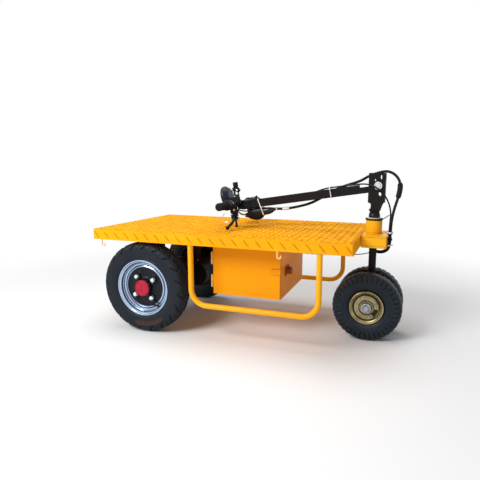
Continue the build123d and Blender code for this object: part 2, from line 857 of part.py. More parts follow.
yoke += block(
    yoke_front_x - yoke_plate, yoke_front_x, -plate_inner, plate_inner,
    yoke_waist_z, yoke_floor_z + yoke_web_height,
)
plate_outline = make_face(Plane.XZ * Polyline(
    (yoke_rear_x, yoke_top_z), (yoke_rear_x, yoke_waist_z),
    (yoke_foot_rear_x, yoke_waist_z - yoke_foot_step), (yoke_foot_rear_x, neck_top_z),
    (yoke_foot_front_x, neck_top_z), (yoke_foot_front_x + yoke_foot_flare, yoke_waist_z - yoke_foot_bend),
    (yoke_front_x, yoke_waist_z + yoke_shoulder), (yoke_front_x, yoke_top_z), close=True,
))
slot_width, slot_height = yoke_slot_size
oval_width, oval_height = yoke_oval_size
on_plate = Plane.XZ * Pos(head_axis_x, yoke_floor_z)
plate_outline -= on_plate * Pos(*yoke_slot_place) * Rot(0, 0, 90) * SlotOverall(slot_height, slot_width)
plate_outline -= on_plate * Pos(*yoke_hole_place) * Circle(yoke_hole_radius)
plate_outline -= on_plate * Pos(*yoke_oval_place) * Ellipse(oval_width / 2, oval_height / 2)
plate_outline -= Plane.XZ * Pos(pivot_x, pivot_z) * Circle(pivot_bolt_radius + weld_gap)
near_plate = Pos(0, -plate_inner, 0) * extrude(plate_outline, yoke_plate)
yoke = yoke + near_plate + mirror(near_plate, Plane.XZ)
save("steering_yoke", yoke)

head_outer = plate_outer + pivot_head_height
pivot_bolt = crosswise(pivot_x, pivot_z, -head_outer, head_outer, pivot_bolt_radius)
for inner, outer in ((-head_outer, -plate_outer), (plate_outer, head_outer)):
    pivot_bolt += crosswise(pivot_x, pivot_z, inner, outer, pivot_head_radius)
save("pivot_bolt", pivot_bolt)

# Tow arm, built pointing to -X from the pivot and then set drooping
arm_place = Pos(pivot_x, 0, pivot_z) * Rot(0, -arm_droop, 0)
half_arm = arm_side / 2
tube_low = -arm_drop - half_arm
tube_top = half_arm - arm_drop
bar_back = arm_length - bar_inset
bar_rise = bar_above_tube - arm_drop
arm = block(-arm_length, -tongue_length, -half_arm, half_arm, tube_low, tube_top)
arm = fillet(
    arm.faces().sort_by(Axis.X)[0].edges().filter_by(Axis.Y).sort_by(Axis.Z)[-1], arm_end_round
)
arm -= block(
    -arm_length + arm_end_wall, -tongue_length - tongue_overlap, -half_arm + arm_wall,
    half_arm - arm_wall, tube_low + arm_wall, tube_top - arm_wall,
)
arm += block(-tongue_length, 0, -half_arm, half_arm, tube_low, tube_low + tongue_height)
arm += crosswise(0, 0, -half_arm, half_arm, eye_radius)
arm += crosswise(-bar_back, bar_rise, -half_arm, half_arm, bar_clamp_radius)
arm -= crosswise(0, 0, -half_arm, half_arm, pivot_bolt_radius + running_gap)
arm -= crosswise(-bar_back, bar_rise, -half_arm, half_arm, handlebar_radius + running_gap)
save("tow_arm", arm_place * arm)

# Handlebar, with two ears to the back of the display
bar_place = Pos(-bar_back, 0, bar_rise)
pod_place = Pos(-pod_behind_bar, 0, pod_above_bar) * Rot(0, -90 - pod_tilt, 0)
half_bar = handlebar_length / 2
handlebar = crosswise(0, 0, -half_bar, half_bar, handlebar_radius)
pod_lean = math.radians(pod_tilt)
bar_depth = pod_behind_bar * math.cos(pod_lean) - pod_above_bar * math.sin(pod_lean)
bar_drop = pod_behind_bar * math.sin(pod_lean) + pod_above_bar * math.cos(pod_lean)
for ear_y in (-pod_ear_y - pod_ear_width, pod_ear_y):
    handlebar += crosswise(0, 0, ear_y, ear_y + pod_ear_width, bar_clamp_radius)
    handlebar += pod_place * block(
        -bar_drop - handlebar_radius, -pod_back_radius / 4, ear_y, ear_y + pod_ear_width,
        -bar_depth, -pod_thickness / 2,
    )
save("handlebar", arm_place * bar_place * handlebar)

pod = make_face(Plane.XZ * Polyline(
    (0, -pod_thickness / 2), (pod_back_radius, -pod_thickness / 2),
    (pod_radius - pod_back_step[0], -pod_back_step[1]), (pod_radius, 0), (pod_radius, pod_rim_height),
    *[(pod_radius - inwards, height) for inwards, height in pod_dome], (0, pod_thickness / 2), close=True,
))
save("display_pod", arm_place * bar_place * pod_place * revolve(pod, Axis.Z))

grip = crosswise(0, 0, half_bar - grip_length, half_bar + grip_end, grip_radius)
grip -= crosswise(0, 0, half_bar - grip_length, half_bar, handlebar_radius + weld_gap)
save("grips", arm_place * bar_place * both_sides(grip))

# Brake levers: a perch clamped on the bar, a curved lever with a ball end; a short parking lever
perch = crosswise(0, 0, perch_y, perch_y + perch_width, perch_radius)
perch += block(
    -perch_back, perch_thickness - perch_back, perch_y, perch_y + perch_width, -perch_depth, 0
)
perch = fillet(perch.edges().filter_by(Axis.Y).group_by(Axis.Z)[0], perch_round)
perch -= crosswise(0, 0, perch_y, perch_y + perch_width, handlebar_radius + weld_gap)
lever_start = (lever_root[0], perch_y + perch_width, lever_root[1])
lever_route = FilletPolyline(lever_start, *lever_bends, lever_ball_place, radius=lever_bend_radius)
lever = sweep(
    Plane(origin=lever_route @ 0, z_dir=lever_route % 0) * Circle(lever_radius), path=lever_route
)
perch += lever + Pos(*lever_ball_place) * Sphere(lever_ball_radius)
parking = Line(parking_root, parking_ball_place)
parking_lever = sweep(
    Plane(origin=parking @ 0, z_dir=parking % 0) * Circle(parking_radius), path=parking
)
parking_lever += Pos(*parking_ball_place) * Sphere(parking_ball_radius)
brake_levers = Compound([mirror(perch, Plane.XZ) + mirror(parking_lever, Plane.XZ), perch])
save("brake_levers", arm_place * bar_place * brake_levers)

# Key switch on a short stem
switch = crosswise(0, 0, -switch_y - switch_width, -switch_y, bar_clamp_radius)
switch += block(
    switch_forward - switch_stem / 2, switch_forward + switch_stem / 2,
    -switch_y - switch_width, -switch_y, 0, switch_height,
)
switch += upright(
    switch_forward, -switch_y - switch_width / 2, switch_height, switch_height + switch_barrel_height,
    switch_barrel_radius,
)
switch += crosswise(
    switch_knob_forward, switch_height - switch_knob_drop, -switch_y - switch_width, -switch_y,
    switch_knob_radius,
)
switch -= crosswise(0, 0, -switch_y - switch_width, -switch_y, handlebar_radius + weld_gap)
save("key_switch", arm_place * bar_place * switch)

# Boots under the arm: a bag over the connectors and a cone where the main cable leaves
boot_top = tube_low - weld_gap
bag = make_face(Plane.XZ * Polyline(
    *[(-boot_front - back, boot_top - down) for back, down in boot_outline], close=True
))
bag = extrude(bag, boot_half_width, both=True)
bag = fillet(bag.faces().filter_by(Axis.Y).edges(), boot_round)
cone = revolve(make_face(Polyline(
    (0, 0), (boot_cone_radius, 0),
    *[(boot_cone_radius - inwards, boot_cone_length - back) for inwards, back in boot_cone_taper],
    (main_cable_radius + boot_tip_wall, boot_cone_length), (0, boot_cone_length), close=True,
)), Axis.Y)
cone_place = Pos(-boot_front, 0, boot_top - boot_cone_radius) * Rot(0, 0, -90)
neck_length = boot_neck_reach - boot_outline[1][0]
neck_place = Pos(-boot_front - boot_neck_reach + neck_length / 2, 0, boot_top - boot_neck_drop)
boot_neck = neck_place * Rot(0, 90, 0) * Cylinder(boot_neck_radius, neck_length)
save("cable_boots", arm_place * (bag + cone_place * cone + boot_neck))


def cord_solid(points, radius, bore=0.0, part=(0, 1)):
    """Cable along straight runs joined by arcs as large as the runs beside each corner allow."""
    places = [Vector(*point) for point in points]
    radii = []
    for before, corner, after in zip(places, places[1:], places[2:]):
        run_in = corner - before
        run_out = after - corner
        half_turn = math.radians(run_in.get_angle(run_out)) / 2
        radii.append(0.45 * min(run_in.length, run_out.length) / math.tan(half_turn))
    route = FilletPolyline(*points, radius=radii)
    if part != (0, 1):
        route = route.trim(*part)
    section = Circle(radius)
    if bore:
        section -= Circle(bore)
    tube = sweep(Plane(origin=route @ 0, z_dir=route % 0) * section, path=route)
    fill = tube.volume / (section.area * route.length)
    print(f"  length {route.length:.0f}, volume share {fill:.4f}, radii", [round(r) for r in radii])
    return tube


def cord(node, points, radius, bore=0.0, part=(0, 1)):
    save(node, cord_solid(points, radius, bore, part))


# Main cable: out of the cone, up the far side of the arm, over the yoke and down in front
cord("arm_cable", [
    (94.6, 0, 592.8), (135, 2, 592), (200, 7, 604.5), (262, 19, 621.5), (312, 29, 648),
    (368, 28, 684), (425, 28, 711), (468, 28, 723.9),
], main_cable_radius)
cord("pivot_cable", [
    (468.4, 28, 724), (498, 28, 732.9), (541, 39.5, 761.4), (575, 39.5, 772.4),
], main_cable_radius)
loop_points = [
    (575.5, 39.5, 772.6), (610, 39.5, 783.8), (646.2, 38, 773.8), (672.8, 34, 747.2), (682, 28, 714),
    (675.5, 18, 668), (659, 4, 608), (650, -10, 552), (650, -17, 509.3),
]
cord("loop_cable", loop_points, main_cable_radius)
cord("cable_sleeve", loop_points, sleeve_radius, main_cable_radius + weld_gap, (sleeve_start, sleeve_end))

# Left brake cable: along the far side of the arm, over its top and down past the near plate
cord("brake_cable_arm", [
    (-91, 99.5, 579), (-88, 62, 580), (-40, 29, 598), (60, 25, 625), (160, 25, 642),
    (250, 26.5, 661), (322, 22, 694), (388, 12, 706), (450, -2, 714), (488, -12, 719.5),
], brake_cable_radius)
cord("brake_cable_pivot", [
    (488.5, -12.1, 719.6), (514, -18.8, 723.3), (548, -41, 722), (580, -47, 708), (596, -47, 695.5),
], brake_cable_radius)
cord("brake_cable_loop", [
    (596.3, -47, 695.3), (612, -47, 683), (636, -40, 645), (648, -30, 597), (645, -27, 548),
    (644, -27, 508.6),
], brake_cable_radius)

# Both cables end in a joiner, and one bundle runs on under the steering head
joiner_x = head_front_x + joiner_ahead
clip_x = head_front_x + clip_ahead
joiner_low_z = joiner_top_z - joiner_height
joiner = upright(joiner_x, joiner_y, joiner_low_z, joiner_top_z, joiner_radius)
clip_top_z = clip_low_z + clip_height
clip_bore = bundle_radius + clip_slack
clip = upright(clip_x, clip_y, clip_low_z, clip_top_z, clip_bore + clip_wall)
clip += block(
    head_front_x, clip_x, clip_y - clip_foot / 8, clip_y + clip_foot / 8, clip_low_z, clip_top_z
)
clip += block(
    head_front_x, head_front_x + clip_wall / 2, clip_y - clip_foot / 2, clip_y + clip_foot / 2,
    clip_low_z, clip_top_z,
)
clip -= upright(clip_x, clip_y, clip_low_z, clip_top_z, clip_bore)
save("cable_clips", Compound([joiner, clip]))
cord("bundle_cable", [
    (648, -20, 497.2), (649, -17, 455), (640, -3, 420), (608, 20, 402), (571, 40, 406),
    (571, 40, 440.8),
], bundle_radius)
cord("lever_cable", [
    (-89, -99.3, 590), (-89, -72, 587), (-82, -32, 579), (-70, -8, 575), (-55.5, -6, 575),
], lever_cable_radius)

# Leads of the key switch and the display, down into the neck of the boot
pod_leads = [
    [(-102.5, -47, 596.8), (-103, -45, 588), (-98, -38, 575), (-88, -24, 561), (-77, -10, 554),
     (-66.8, -4.4, 555.2)],
    [(-103.5, -26, 597.1), (-104, -25, 586), (-99, -17, 571), (-88, -3, 559), (-76, 5, 557),
     (-66.5, 4.4, 558)],
]
save("pod_leads", Compound([cord_solid(points, pod_lead_radius) for points in pod_leads]))

# Thin wire from the battery box along under the deck, past the post and up into the head box
cord("brake_wire", [
    (185.3, 26, 374), (250, 27, 371), (315, 26, 371.5), (380, 25.5, 374), (445, 26, 378.5),
    (505, 27, 384), (551, 26, 393), (571, 26.5, 412), (571, 26.5, 440.8),
], brake_wire_radius)
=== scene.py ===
import math

import bmesh
import bpy
import numpy as np
from mathutils import Matrix, Vector


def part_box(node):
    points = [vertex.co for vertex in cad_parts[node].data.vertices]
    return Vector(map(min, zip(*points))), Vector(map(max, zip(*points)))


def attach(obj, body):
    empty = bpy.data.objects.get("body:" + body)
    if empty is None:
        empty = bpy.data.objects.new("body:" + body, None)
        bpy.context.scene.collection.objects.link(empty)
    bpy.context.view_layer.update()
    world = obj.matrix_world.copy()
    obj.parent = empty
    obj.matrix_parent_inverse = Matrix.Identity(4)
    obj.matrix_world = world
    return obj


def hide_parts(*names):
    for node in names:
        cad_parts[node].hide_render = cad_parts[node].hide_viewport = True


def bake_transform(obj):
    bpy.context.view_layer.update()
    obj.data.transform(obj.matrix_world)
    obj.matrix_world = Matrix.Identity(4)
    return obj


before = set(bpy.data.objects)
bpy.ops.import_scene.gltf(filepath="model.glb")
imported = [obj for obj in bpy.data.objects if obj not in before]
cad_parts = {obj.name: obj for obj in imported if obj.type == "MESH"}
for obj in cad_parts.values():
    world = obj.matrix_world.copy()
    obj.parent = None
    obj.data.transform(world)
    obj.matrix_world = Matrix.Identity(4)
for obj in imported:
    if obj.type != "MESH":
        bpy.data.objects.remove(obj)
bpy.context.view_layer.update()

MM = 0.001
TURN = 2 * math.pi


def mm(*numbers):
    return Vector([number * MM for number in numbers])


def shift(*numbers):
    """Translation in millimetres."""
    return Matrix.Translation(mm(*numbers))


def turned(angle, axis):
    return Matrix.Rotation(angle, 4, axis)


def outward(side):
    """Turns local Z to -Y or +Y."""
    return turned(-side * math.pi / 2, "X")


def polar(radius, angle, height):
    """Point in metres at a radius and height in millimetres."""
    return radius * MM * math.cos(angle), radius * MM * math.sin(angle), height * MM


def node_middle(node):
    low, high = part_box(node)
    return (low + high) / 2


def cad_corners(node):
    """Low and high corner of a node's box, in millimetres."""
    return (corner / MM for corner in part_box(node))


# Camera at the photograph's viewpoint
camera_place = mm(729.5, -2051.9, 792.5)
camera_yaw, camera_pitch, camera_roll = (math.radians(angle) for angle in (17.96, 9.53, 0.44))
focal_pixels, picture_pixels, sensor_width = 432.725, 480.0, 36.0
principal_point = (269.95, 240.46)


def add_camera():
    ahead = Vector((
        -math.sin(camera_yaw) * math.cos(camera_pitch), math.cos(camera_yaw) * math.cos(camera_pitch),
        -math.sin(camera_pitch),
    ))
    side = Vector((math.cos(camera_yaw), math.sin(camera_yaw), 0))
    above = side.cross(ahead)
    right = side * math.cos(camera_roll) + above * math.sin(camera_roll)
    up = above * math.cos(camera_roll) - side * math.sin(camera_roll)
    lens = bpy.data.cameras.new("camera")
    lens.sensor_width = sensor_width
    lens.lens = focal_pixels * sensor_width / picture_pixels
    lens.shift_x = (picture_pixels / 2 - principal_point[0]) / picture_pixels
    lens.shift_y = (principal_point[1] - picture_pixels / 2) / picture_pixels
    camera = bpy.data.objects.new("camera", lens)
    facing = Matrix((right, up, -ahead)).transposed().to_4x4()
    camera.matrix_world = Matrix.Translation(camera_place) @ facing
    bpy.context.collection.objects.link(camera)
    bpy.context.scene.camera = camera


add_camera()


# Shapes

class Form:
    """Vertices and faces of one piece, collected from several shapes, in metres."""

    def __init__(self):
        self.points = []
        self.faces = []

    def add(self, points, faces, place=Matrix()):
        start = len(self.points)
        moved = np.asarray(points, float) @ np.array(place)[:3, :3].T + np.array(place.translation)
        self.points.extend(moved.tolist())
        self.faces.extend(tuple(start + index for index in face) for face in faces)

    def grid(self, rows, place=Matrix(), around=True, along=False, caps=True):
        """Skin over rows of points: around closes each row, along joins the last row to the first."""
        count, width = len(rows), len(rows[0])
        faces = []
        for i in range(count if along else count - 1):
            here, there = i * width, (i + 1) % count * width
            for j in range(width if around else width - 1):
                k = (j + 1) % width
                faces.append((here + j, here + k, there + k, there + j))
        if caps and around and not along:
            faces.append(tuple(range(width))[::-1])
            faces.append(tuple((count - 1) * width + j for j in range(width)))
        self.add(np.asarray(rows, float).reshape(-1, 3), faces, place)

    def lathe(self, profile, place=Matrix(), steps=64, closed=False):
        """Turn (radius, height) points, in millimetres, about the local Z axis."""
        angles = [TURN * index / steps for index in range(steps)]
        rows = [[polar(radius, a, height) for a in angles] for radius, height in profile]
        self.grid(rows, place, along=closed, caps=not closed)

    def sector(self, start, sweep, steps, section, place=Matrix()):
        """Sweep (radius, height) points, in millimetres, through part of a turn, in degrees."""
        angles = [math.radians(start + sweep * index / steps) for index in range(steps + 1)]
        self.grid([[polar(radius, a, height) for radius, height in section] for a in angles], place)

    def prism(self, outline, low, high, place=Matrix(), bevel=0.0):
        """Outline in the local XY plane, in millimetres, drawn out along Z with both rims bevelled."""
        middle = np.mean(np.array(outline, float), axis=0)
        reach = max(np.linalg.norm(np.array(outline, float) - middle, axis=1))
        shrink = 1 - bevel / reach
        rows = []
        for height, size in ((low, shrink), (low + bevel, 1), (high - bevel, 1), (high, shrink)):
            if bevel or height in (low, high):
                rows.append([
                    (*((np.array(point) - middle) * size + middle) * MM, height * MM) for point in outline
                ])
        self.grid(rows if bevel else [rows[0], rows[-1]], place)

    def tube(self, path, radius, sides=12, closed=False):
        """Round tube along a path in metres; radius is in millimetres, or a function of the share."""
        path = [Vector(point) for point in path]
        lengths = [0.0]
        for before, after in zip(path, path[1:]):
            lengths.append(lengths[-1] + (after - before).length)
        normal = None
        rows = []
        for index, point in enumerate(path):
            before = path[index - 1] if index or closed else point
            after = path[(index + 1) % len(path)] if index + 1 < len(path) or closed else point
            ahead = (after - before).normalized()
            if normal is None:
                normal = ahead.orthogonal().normalized()
            normal = (normal - ahead * normal.dot(ahead)).normalized()
            across = ahead.cross(normal)
            share = lengths[index] / lengths[-1]
            size = (radius(share) if callable(radius) else radius) * MM
            rows.append([
                point + (normal * math.cos(TURN * j / sides) + across * math.sin(TURN * j / sides)) * size
                for j in range(sides)
            ])
        self.grid(rows, along=closed, caps=not closed)

    def slab(self, x, y, z, place=Matrix(), bevel=0.5):
        """Bevelled block between (low, high) pairs in millimetres."""
        half = [(high - low) / 2 for low, high in (x, y, z)]
        middle = shift(*[(high + low) / 2 for low, high in (x, y, z)])
        rows = []
        for height, inset in (
            (-half[2], bevel), (bevel - half[2], 0), (half[2] - bevel, 0), (half[2], bevel),
        ):
            a, b = half[0] - inset, half[1] - inset
            row = []
            for sx, sy in ((1, 1), (-1, 1), (-1, -1), (1, -1)):
                corner = [(sx * a, sy * (b - bevel)), (sx * (a - bevel), sy * b)]
                row += [(p * MM, q * MM, height * MM) for p, q in (corner if sx * sy > 0 else corner[::-1])]
            rows.append(row)
        self.grid(rows, place @ middle)

    def bead(self, path, radius=2.4, closed=False):
        """Lumpy weld bead along a path in millimetres."""
        path = [Vector(point) for point in path]
        ends = list(zip(path, path[1:] + path[:1] if closed else path[1:]))
        fine = []
        for start, end in ends:
            steps = max(1, round((end - start).length / 2.2))
            fine += [start.lerp(end, index / steps) * MM for index in range(steps)]
        if not closed:
            fine.append(path[-1] * MM)
        self.tube(
            fine, lambda share: radius * (0.85 + 0.3 * abs(math.sin(share * len(fine) * 0.9))), 7, closed,
        )

    def band(self, path, along, width, thickness, place=Matrix()):
        """Flat strap round a closed path in millimetres, with its width along one direction."""
        middle = sum((Vector(p) for p in path), Vector()) / len(path)
        side = Vector(along).normalized() * width / 2
        rows = []
        for point in path:
            point = Vector(point)
            out = (point - middle)
            out = (out - side.normalized() * out.dot(side.normalized())).normalized() * thickness
            rows.append([(p * MM)[:] for p in (
                point - side, point + side, point + side + out, point - side + out,
            )])
        self.grid(rows, place, along=True)

    def piece(self, name, material, body, slot, sharp=35.0, replaces=(), subdivide=0):
        mesh = bpy.data.meshes.new(name)
        mesh.from_pydata(self.points, [], self.faces)
        shape = bmesh.new()
        shape.from_mesh(mesh)
        bmesh.ops.recalc_face_normals(shape, faces=shape.faces)
        shape.to_mesh(mesh)
        shape.free()
        mesh.shade_smooth()
        if sharp:
            mesh.set_sharp_from_angle(angle=math.radians(sharp))
        thing = bpy.data.objects.new(name, mesh)
        bpy.context.collection.objects.link(thing)
        mesh.materials.append(material)
        if subdivide:
            smoother = thing.modifiers.new("smooth", "SUBSURF")
            smoother.levels = smoother.render_levels = subdivide
        if replaces:
            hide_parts(*replaces)
        if body:
            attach(thing, body)
        return thing


def ring_outline(sides, radius, start=0.0):
    return [
        (radius * math.cos(TURN * i / sides + start), radius * math.sin(TURN * i / sides + start))
        for i in range(sides)
    ]


def rounded_loop(half_y, low, high, corner, steps=5):
    """Rounded rectangle in the local YZ plane, as (0, y, z) points in millimetres."""
    points = []
    for quarter, (y, z) in enumerate((
        (half_y - corner, high - corner), (corner - half_y, high - corner),
        (corner - half_y, low + corner), (half_y - corner, low + corner),
    )):
        for index in range(steps):
            angle = math.pi / 2 * (quarter + index / (steps - 1))
            points.append((0, y + corner * math.cos(angle), z + corner * math.sin(angle)))
    return points


def smoothstep(edge_low, edge_high, value):
    share = np.clip((value - edge_low) / (edge_high - edge_low), 0, 1)
    return share * share * (3 - 2 * share)


# Materials: each drifts between two tones in patches and has a fine surface grain; some paint a highlight on
# edges and shade in crevices, and tint upward faces with a dusting, painted top shade or painted top light

def finish(
    name, colour, other, patch, roughness, grain, height, metallic=0.0, coat=0.0, gloss=0.5, edge=0.0,
    edge_highlight_tone=None, drift=0.5, dust_and_top_shading=0.0, dust_and_top_shading_tone=(0.34, 0.31, 0.27), crevice=0.0, crevice_shade_tone=None,
):
    material = bpy.data.materials.new(name)
    material.use_nodes = True
    nodes, links = material.node_tree.nodes, material.node_tree.links
    shader = nodes["Principled BSDF"]
    shader.inputs["Metallic"].default_value = metallic
    shader.inputs["Coat Weight"].default_value = coat
    shader.inputs["Coat Roughness"].default_value = 0.12
    shader.inputs["Specular IOR Level"].default_value = gloss
    coordinates = nodes.new("ShaderNodeTexCoord")

    def noise(scale, detail):
        texture = nodes.new("ShaderNodeTexNoise")
        texture.inputs["Scale"].default_value = scale
        texture.inputs["Detail"].default_value = detail
        links.new(coordinates.outputs["Object"], texture.inputs["Vector"])
        return texture.outputs["Fac"]

    def limits(source, low, high, new_low, new_high):
        ramp = nodes.new("ShaderNodeMapRange")
        for socket, value in zip(ramp.inputs[1:5], (low, high, new_low, new_high)):
            socket.default_value = value
        links.new(source, ramp.inputs["Value"])
        return ramp.outputs["Result"]

    def blend(share, tone_a, tone_b):
        mix = nodes.new("ShaderNodeMix")
        mix.data_type = "RGBA"
        links.new(share, mix.inputs[0])
        for socket, tone in ((mix.inputs[6], tone_a), (mix.inputs[7], tone_b)):
            if isinstance(tone, tuple):
                socket.default_value = (*tone, 1)
            else:
                links.new(tone, socket)
        return mix.outputs[2]

    tone = blend(limits(noise(patch, 3), 0.35, 0.65, 0, drift), colour, other)
    rough = limits(noise(patch * 3, 4), 0.3, 0.7, roughness * 0.82, roughness * 1.2)
    links.new(rough, shader.inputs["Roughness"])
    bump = nodes.new("ShaderNodeBump")
    bump.inputs["Strength"].default_value = 0.6
    bump.inputs["Distance"].default_value = height * MM
    links.new(noise(grain, 2), bump.inputs["Height"])
    # Edges are rounded by the bevel normal and, when a tone is given, lightened along the rim as a painted
    # highlight.
    if edge:
        rounding = nodes.new("ShaderNodeBevel")
        rounding.samples = 4
        rounding.inputs["Radius"].default_value = edge * MM
        links.new(rounding.outputs["Normal"], bump.inputs["Normal"])
        if edge_highlight_tone:
            geometry = nodes.new("ShaderNodeNewGeometry")
            compare = nodes.new("ShaderNodeVectorMath")
            compare.operation = "DOT_PRODUCT"
            links.new(rounding.outputs["Normal"], compare.inputs[0])
            links.new(geometry.outputs["Normal"], compare.inputs[1])
            tone = blend(limits(compare.outputs["Value"], 0.99, 0.86, 0, 0.55), tone, edge_highlight_tone)
    # Painted shade: creases and recesses that ambient occlusion finds turn darker.
    if crevice:
        occlusion = nodes.new("ShaderNodeAmbientOcclusion")
        occlusion.samples = 6
        occlusion.inputs["Distance"].default_value = crevice * MM
        tone = blend(limits(occlusion.outputs["AO"], 0.92, 0.5, 0, 0.9), tone, crevice_shade_tone)
    # Upward faces drift to another tone in patches: a real dusting on most materials, painted shade on the
    # deck's top, and a dusting with painted light on the front tyres' tops.
    if dust_and_top_shading:
        geometry = nodes.new("ShaderNodeNewGeometry")
        parts = nodes.new("ShaderNodeSeparateXYZ")
        links.new(geometry.outputs["Normal"], parts.inputs["Vector"])
        lying = nodes.new("ShaderNodeMath")
        lying.operation = "MULTIPLY"
        links.new(limits(parts.outputs["Z"], 0.1, 1.0, 0, dust_and_top_shading), lying.inputs[0])
        links.new(limits(noise(patch * 6, 5), 0.4, 0.65, 0.25, 1), lying.inputs[1])
        tone = blend(lying.outputs["Value"], tone, dust_and_top_shading_tone)
    links.new(tone, shader.inputs["Base Color"])
    links.new(bump.outputs["Normal"], shader.inputs["Normal"])
    return material


# Dark orange painted into the creases of the yellow and orange paint, as painted shade.
orange_crevice_shade = (0.3, 0.075, 0.004)
yellow = finish(
    "yellow_paint", (0.95, 0.45, 0.008), (0.93, 0.38, 0.006), 3.0, 0.34, 420, 0.05, coat=0.06, gloss=0.12,
    edge=1.2, edge_highlight_tone=(0.98, 0.6, 0.06), crevice=4, crevice_shade_tone=orange_crevice_shade,
)
# Deck paint: upward faces turn a darker orange in patches as painted shade on the top, and its creases take
# painted shade too.
deck_yellow = finish(
    "deck_paint", (0.95, 0.42, 0.009), (0.93, 0.36, 0.007), 4.0, 0.6, 380, 0.06, gloss=0.02, edge=1.0,
    edge_highlight_tone=(0.98, 0.6, 0.06), drift=0.8, dust_and_top_shading=0.85, dust_and_top_shading_tone=(0.6, 0.17, 0.004), crevice=6,
    crevice_shade_tone=(0.4, 0.1, 0.004),
)
# The chequer bars: a lighter copy of the deck paint, as painted light on the raised bars.
lit_bar_yellow = finish(
    "bar_paint", (0.96, 0.5, 0.014), (0.94, 0.4, 0.01), 4.0, 0.55, 380, 0.06, gloss=0.03, edge=1.0,
    edge_highlight_tone=(0.98, 0.62, 0.08), drift=0.8,
)
# The skirt bars: a darker copy of the deck paint, as painted shade along the slanting bars.
skirt_bar_shade = finish(
    "skirt_bar_painted_shade", (0.66, 0.24, 0.006), (0.58, 0.19, 0.005), 4.0, 0.5, 380, 0.06, gloss=0.05,
    drift=0.8,
)
box_orange = finish(
    "box_paint", (0.97, 0.36, 0.005), (0.93, 0.3, 0.005), 2.5, 0.45, 420, 0.05, gloss=0.06, edge=1.4,
    edge_highlight_tone=(0.98, 0.55, 0.1), crevice=5, crevice_shade_tone=orange_crevice_shade,
)
black_paint = finish(
    "black_paint", (0.011, 0.01, 0.011), (0.019, 0.014, 0.013), 14, 0.46, 500, 0.06, gloss=0.08, edge=0.9,
    edge_highlight_tone=(0.04, 0.037, 0.036), dust_and_top_shading=0.02,
)
black_gloss = finish(
    "black_gloss", (0.005, 0.006, 0.008), (0.009, 0.011, 0.014), 20, 0.25, 300, 0.02, coat=0.03,
    gloss=0.16, edge=0.8, edge_highlight_tone=(0.03, 0.034, 0.045),
)
black_plastic = finish(
    "black_plastic", (0.009, 0.01, 0.012), (0.015, 0.016, 0.019), 30, 0.45, 900, 0.08, gloss=0.12,
    edge=0.8, edge_highlight_tone=(0.035, 0.037, 0.042),
)
# Display case and glass: the blue in their dark colour is a painted sheen.
pod_shell = finish(
    "pod_shell", (0.012, 0.018, 0.034), (0.022, 0.032, 0.058), 12, 0.3, 700, 0.03, coat=0.04, gloss=0.12,
)
pod_glass = finish(
    "pod_glass", (0.008, 0.012, 0.026), (0.014, 0.022, 0.045), 12, 0.2, 700, 0.01, coat=0.03, gloss=0.08,
)
rubber = finish("rubber", (0.01, 0.01, 0.011), (0.017, 0.016, 0.016), 25, 0.6, 800, 0.1, gloss=0.1)
boot_rubber = finish(
    "boot_rubber", (0.008, 0.0075, 0.008), (0.014, 0.013, 0.013), 30, 0.36, 500, 0.08, coat=0.04,
    gloss=0.12,
)
cone_rubber = finish(
    "cone_rubber", (0.007, 0.01, 0.012), (0.012, 0.016, 0.018), 30, 0.2, 500, 0.03, coat=0.3, gloss=0.2,
)
tape = finish(
    "tape", (0.008, 0.008, 0.009), (0.014, 0.013, 0.014), 60, 0.34, 260, 0.12, coat=0.04, gloss=0.12,
)
cable_skin = finish(
    "cable_skin", (0.009, 0.009, 0.01), (0.014, 0.013, 0.013), 40, 0.42, 600, 0.05, gloss=0.12,
)
grey_skin = finish("grey_skin", (0.2, 0.21, 0.22), (0.15, 0.155, 0.165), 40, 0.42, 600, 0.05, gloss=0.35)
tyre_rubber = finish(
    "tyre_rubber", (0.012, 0.016, 0.022), (0.019, 0.023, 0.03), 9, 0.5, 650, 0.1, gloss=0.12, edge=1.4,
    edge_highlight_tone=(0.05, 0.06, 0.08), dust_and_top_shading=0.02, crevice=7, crevice_shade_tone=(0.003, 0.003, 0.004),
)
# Front tyres: the blue in the rubber is a painted sheen, and the lighter upward faces are partly a dusting
# and partly painted light on the top.
front_rubber = finish(
    "front_tyre_rubber", (0.012, 0.018, 0.026), (0.02, 0.026, 0.034), 12, 0.46, 500, 0.14, gloss=0.14,
    edge=1.4, edge_highlight_tone=(0.2, 0.205, 0.21), dust_and_top_shading=0.4, dust_and_top_shading_tone=(0.16, 0.16, 0.165), crevice=9,
    crevice_shade_tone=(0.003, 0.003, 0.003),
)
# The rim's paint: the blue in its colour is a painted reflection of the sky.
blue_reflection_silver = finish(
    "silver_paint", (0.42, 0.53, 0.7), (0.36, 0.46, 0.62), 6, 0.2, 60, 0.001, metallic=0.85, coat=0.2,
)
groove_blue = finish(
    "groove_shade", (0.05, 0.08, 0.13), (0.035, 0.06, 0.1), 6, 0.35, 60, 0.001, metallic=0.3, gloss=0.2,
)
zinc = finish(
    "zinc", (0.7, 0.72, 0.75), (0.56, 0.58, 0.62), 60, 0.28, 900, 0.04, metallic=0.9, edge=0.5,
    edge_highlight_tone=(0.85, 0.87, 0.9), crevice=3, crevice_shade_tone=(0.06, 0.06, 0.07),
)
chrome = finish("chrome", (0.86, 0.88, 0.92), (0.78, 0.8, 0.85), 40, 0.12, 900, 0.01, metallic=0.9)
hook_wire = finish("hook_wire", (0.95, 0.68, 0.3), (0.88, 0.5, 0.14), 60, 0.35, 700, 0.04, coat=0.2)
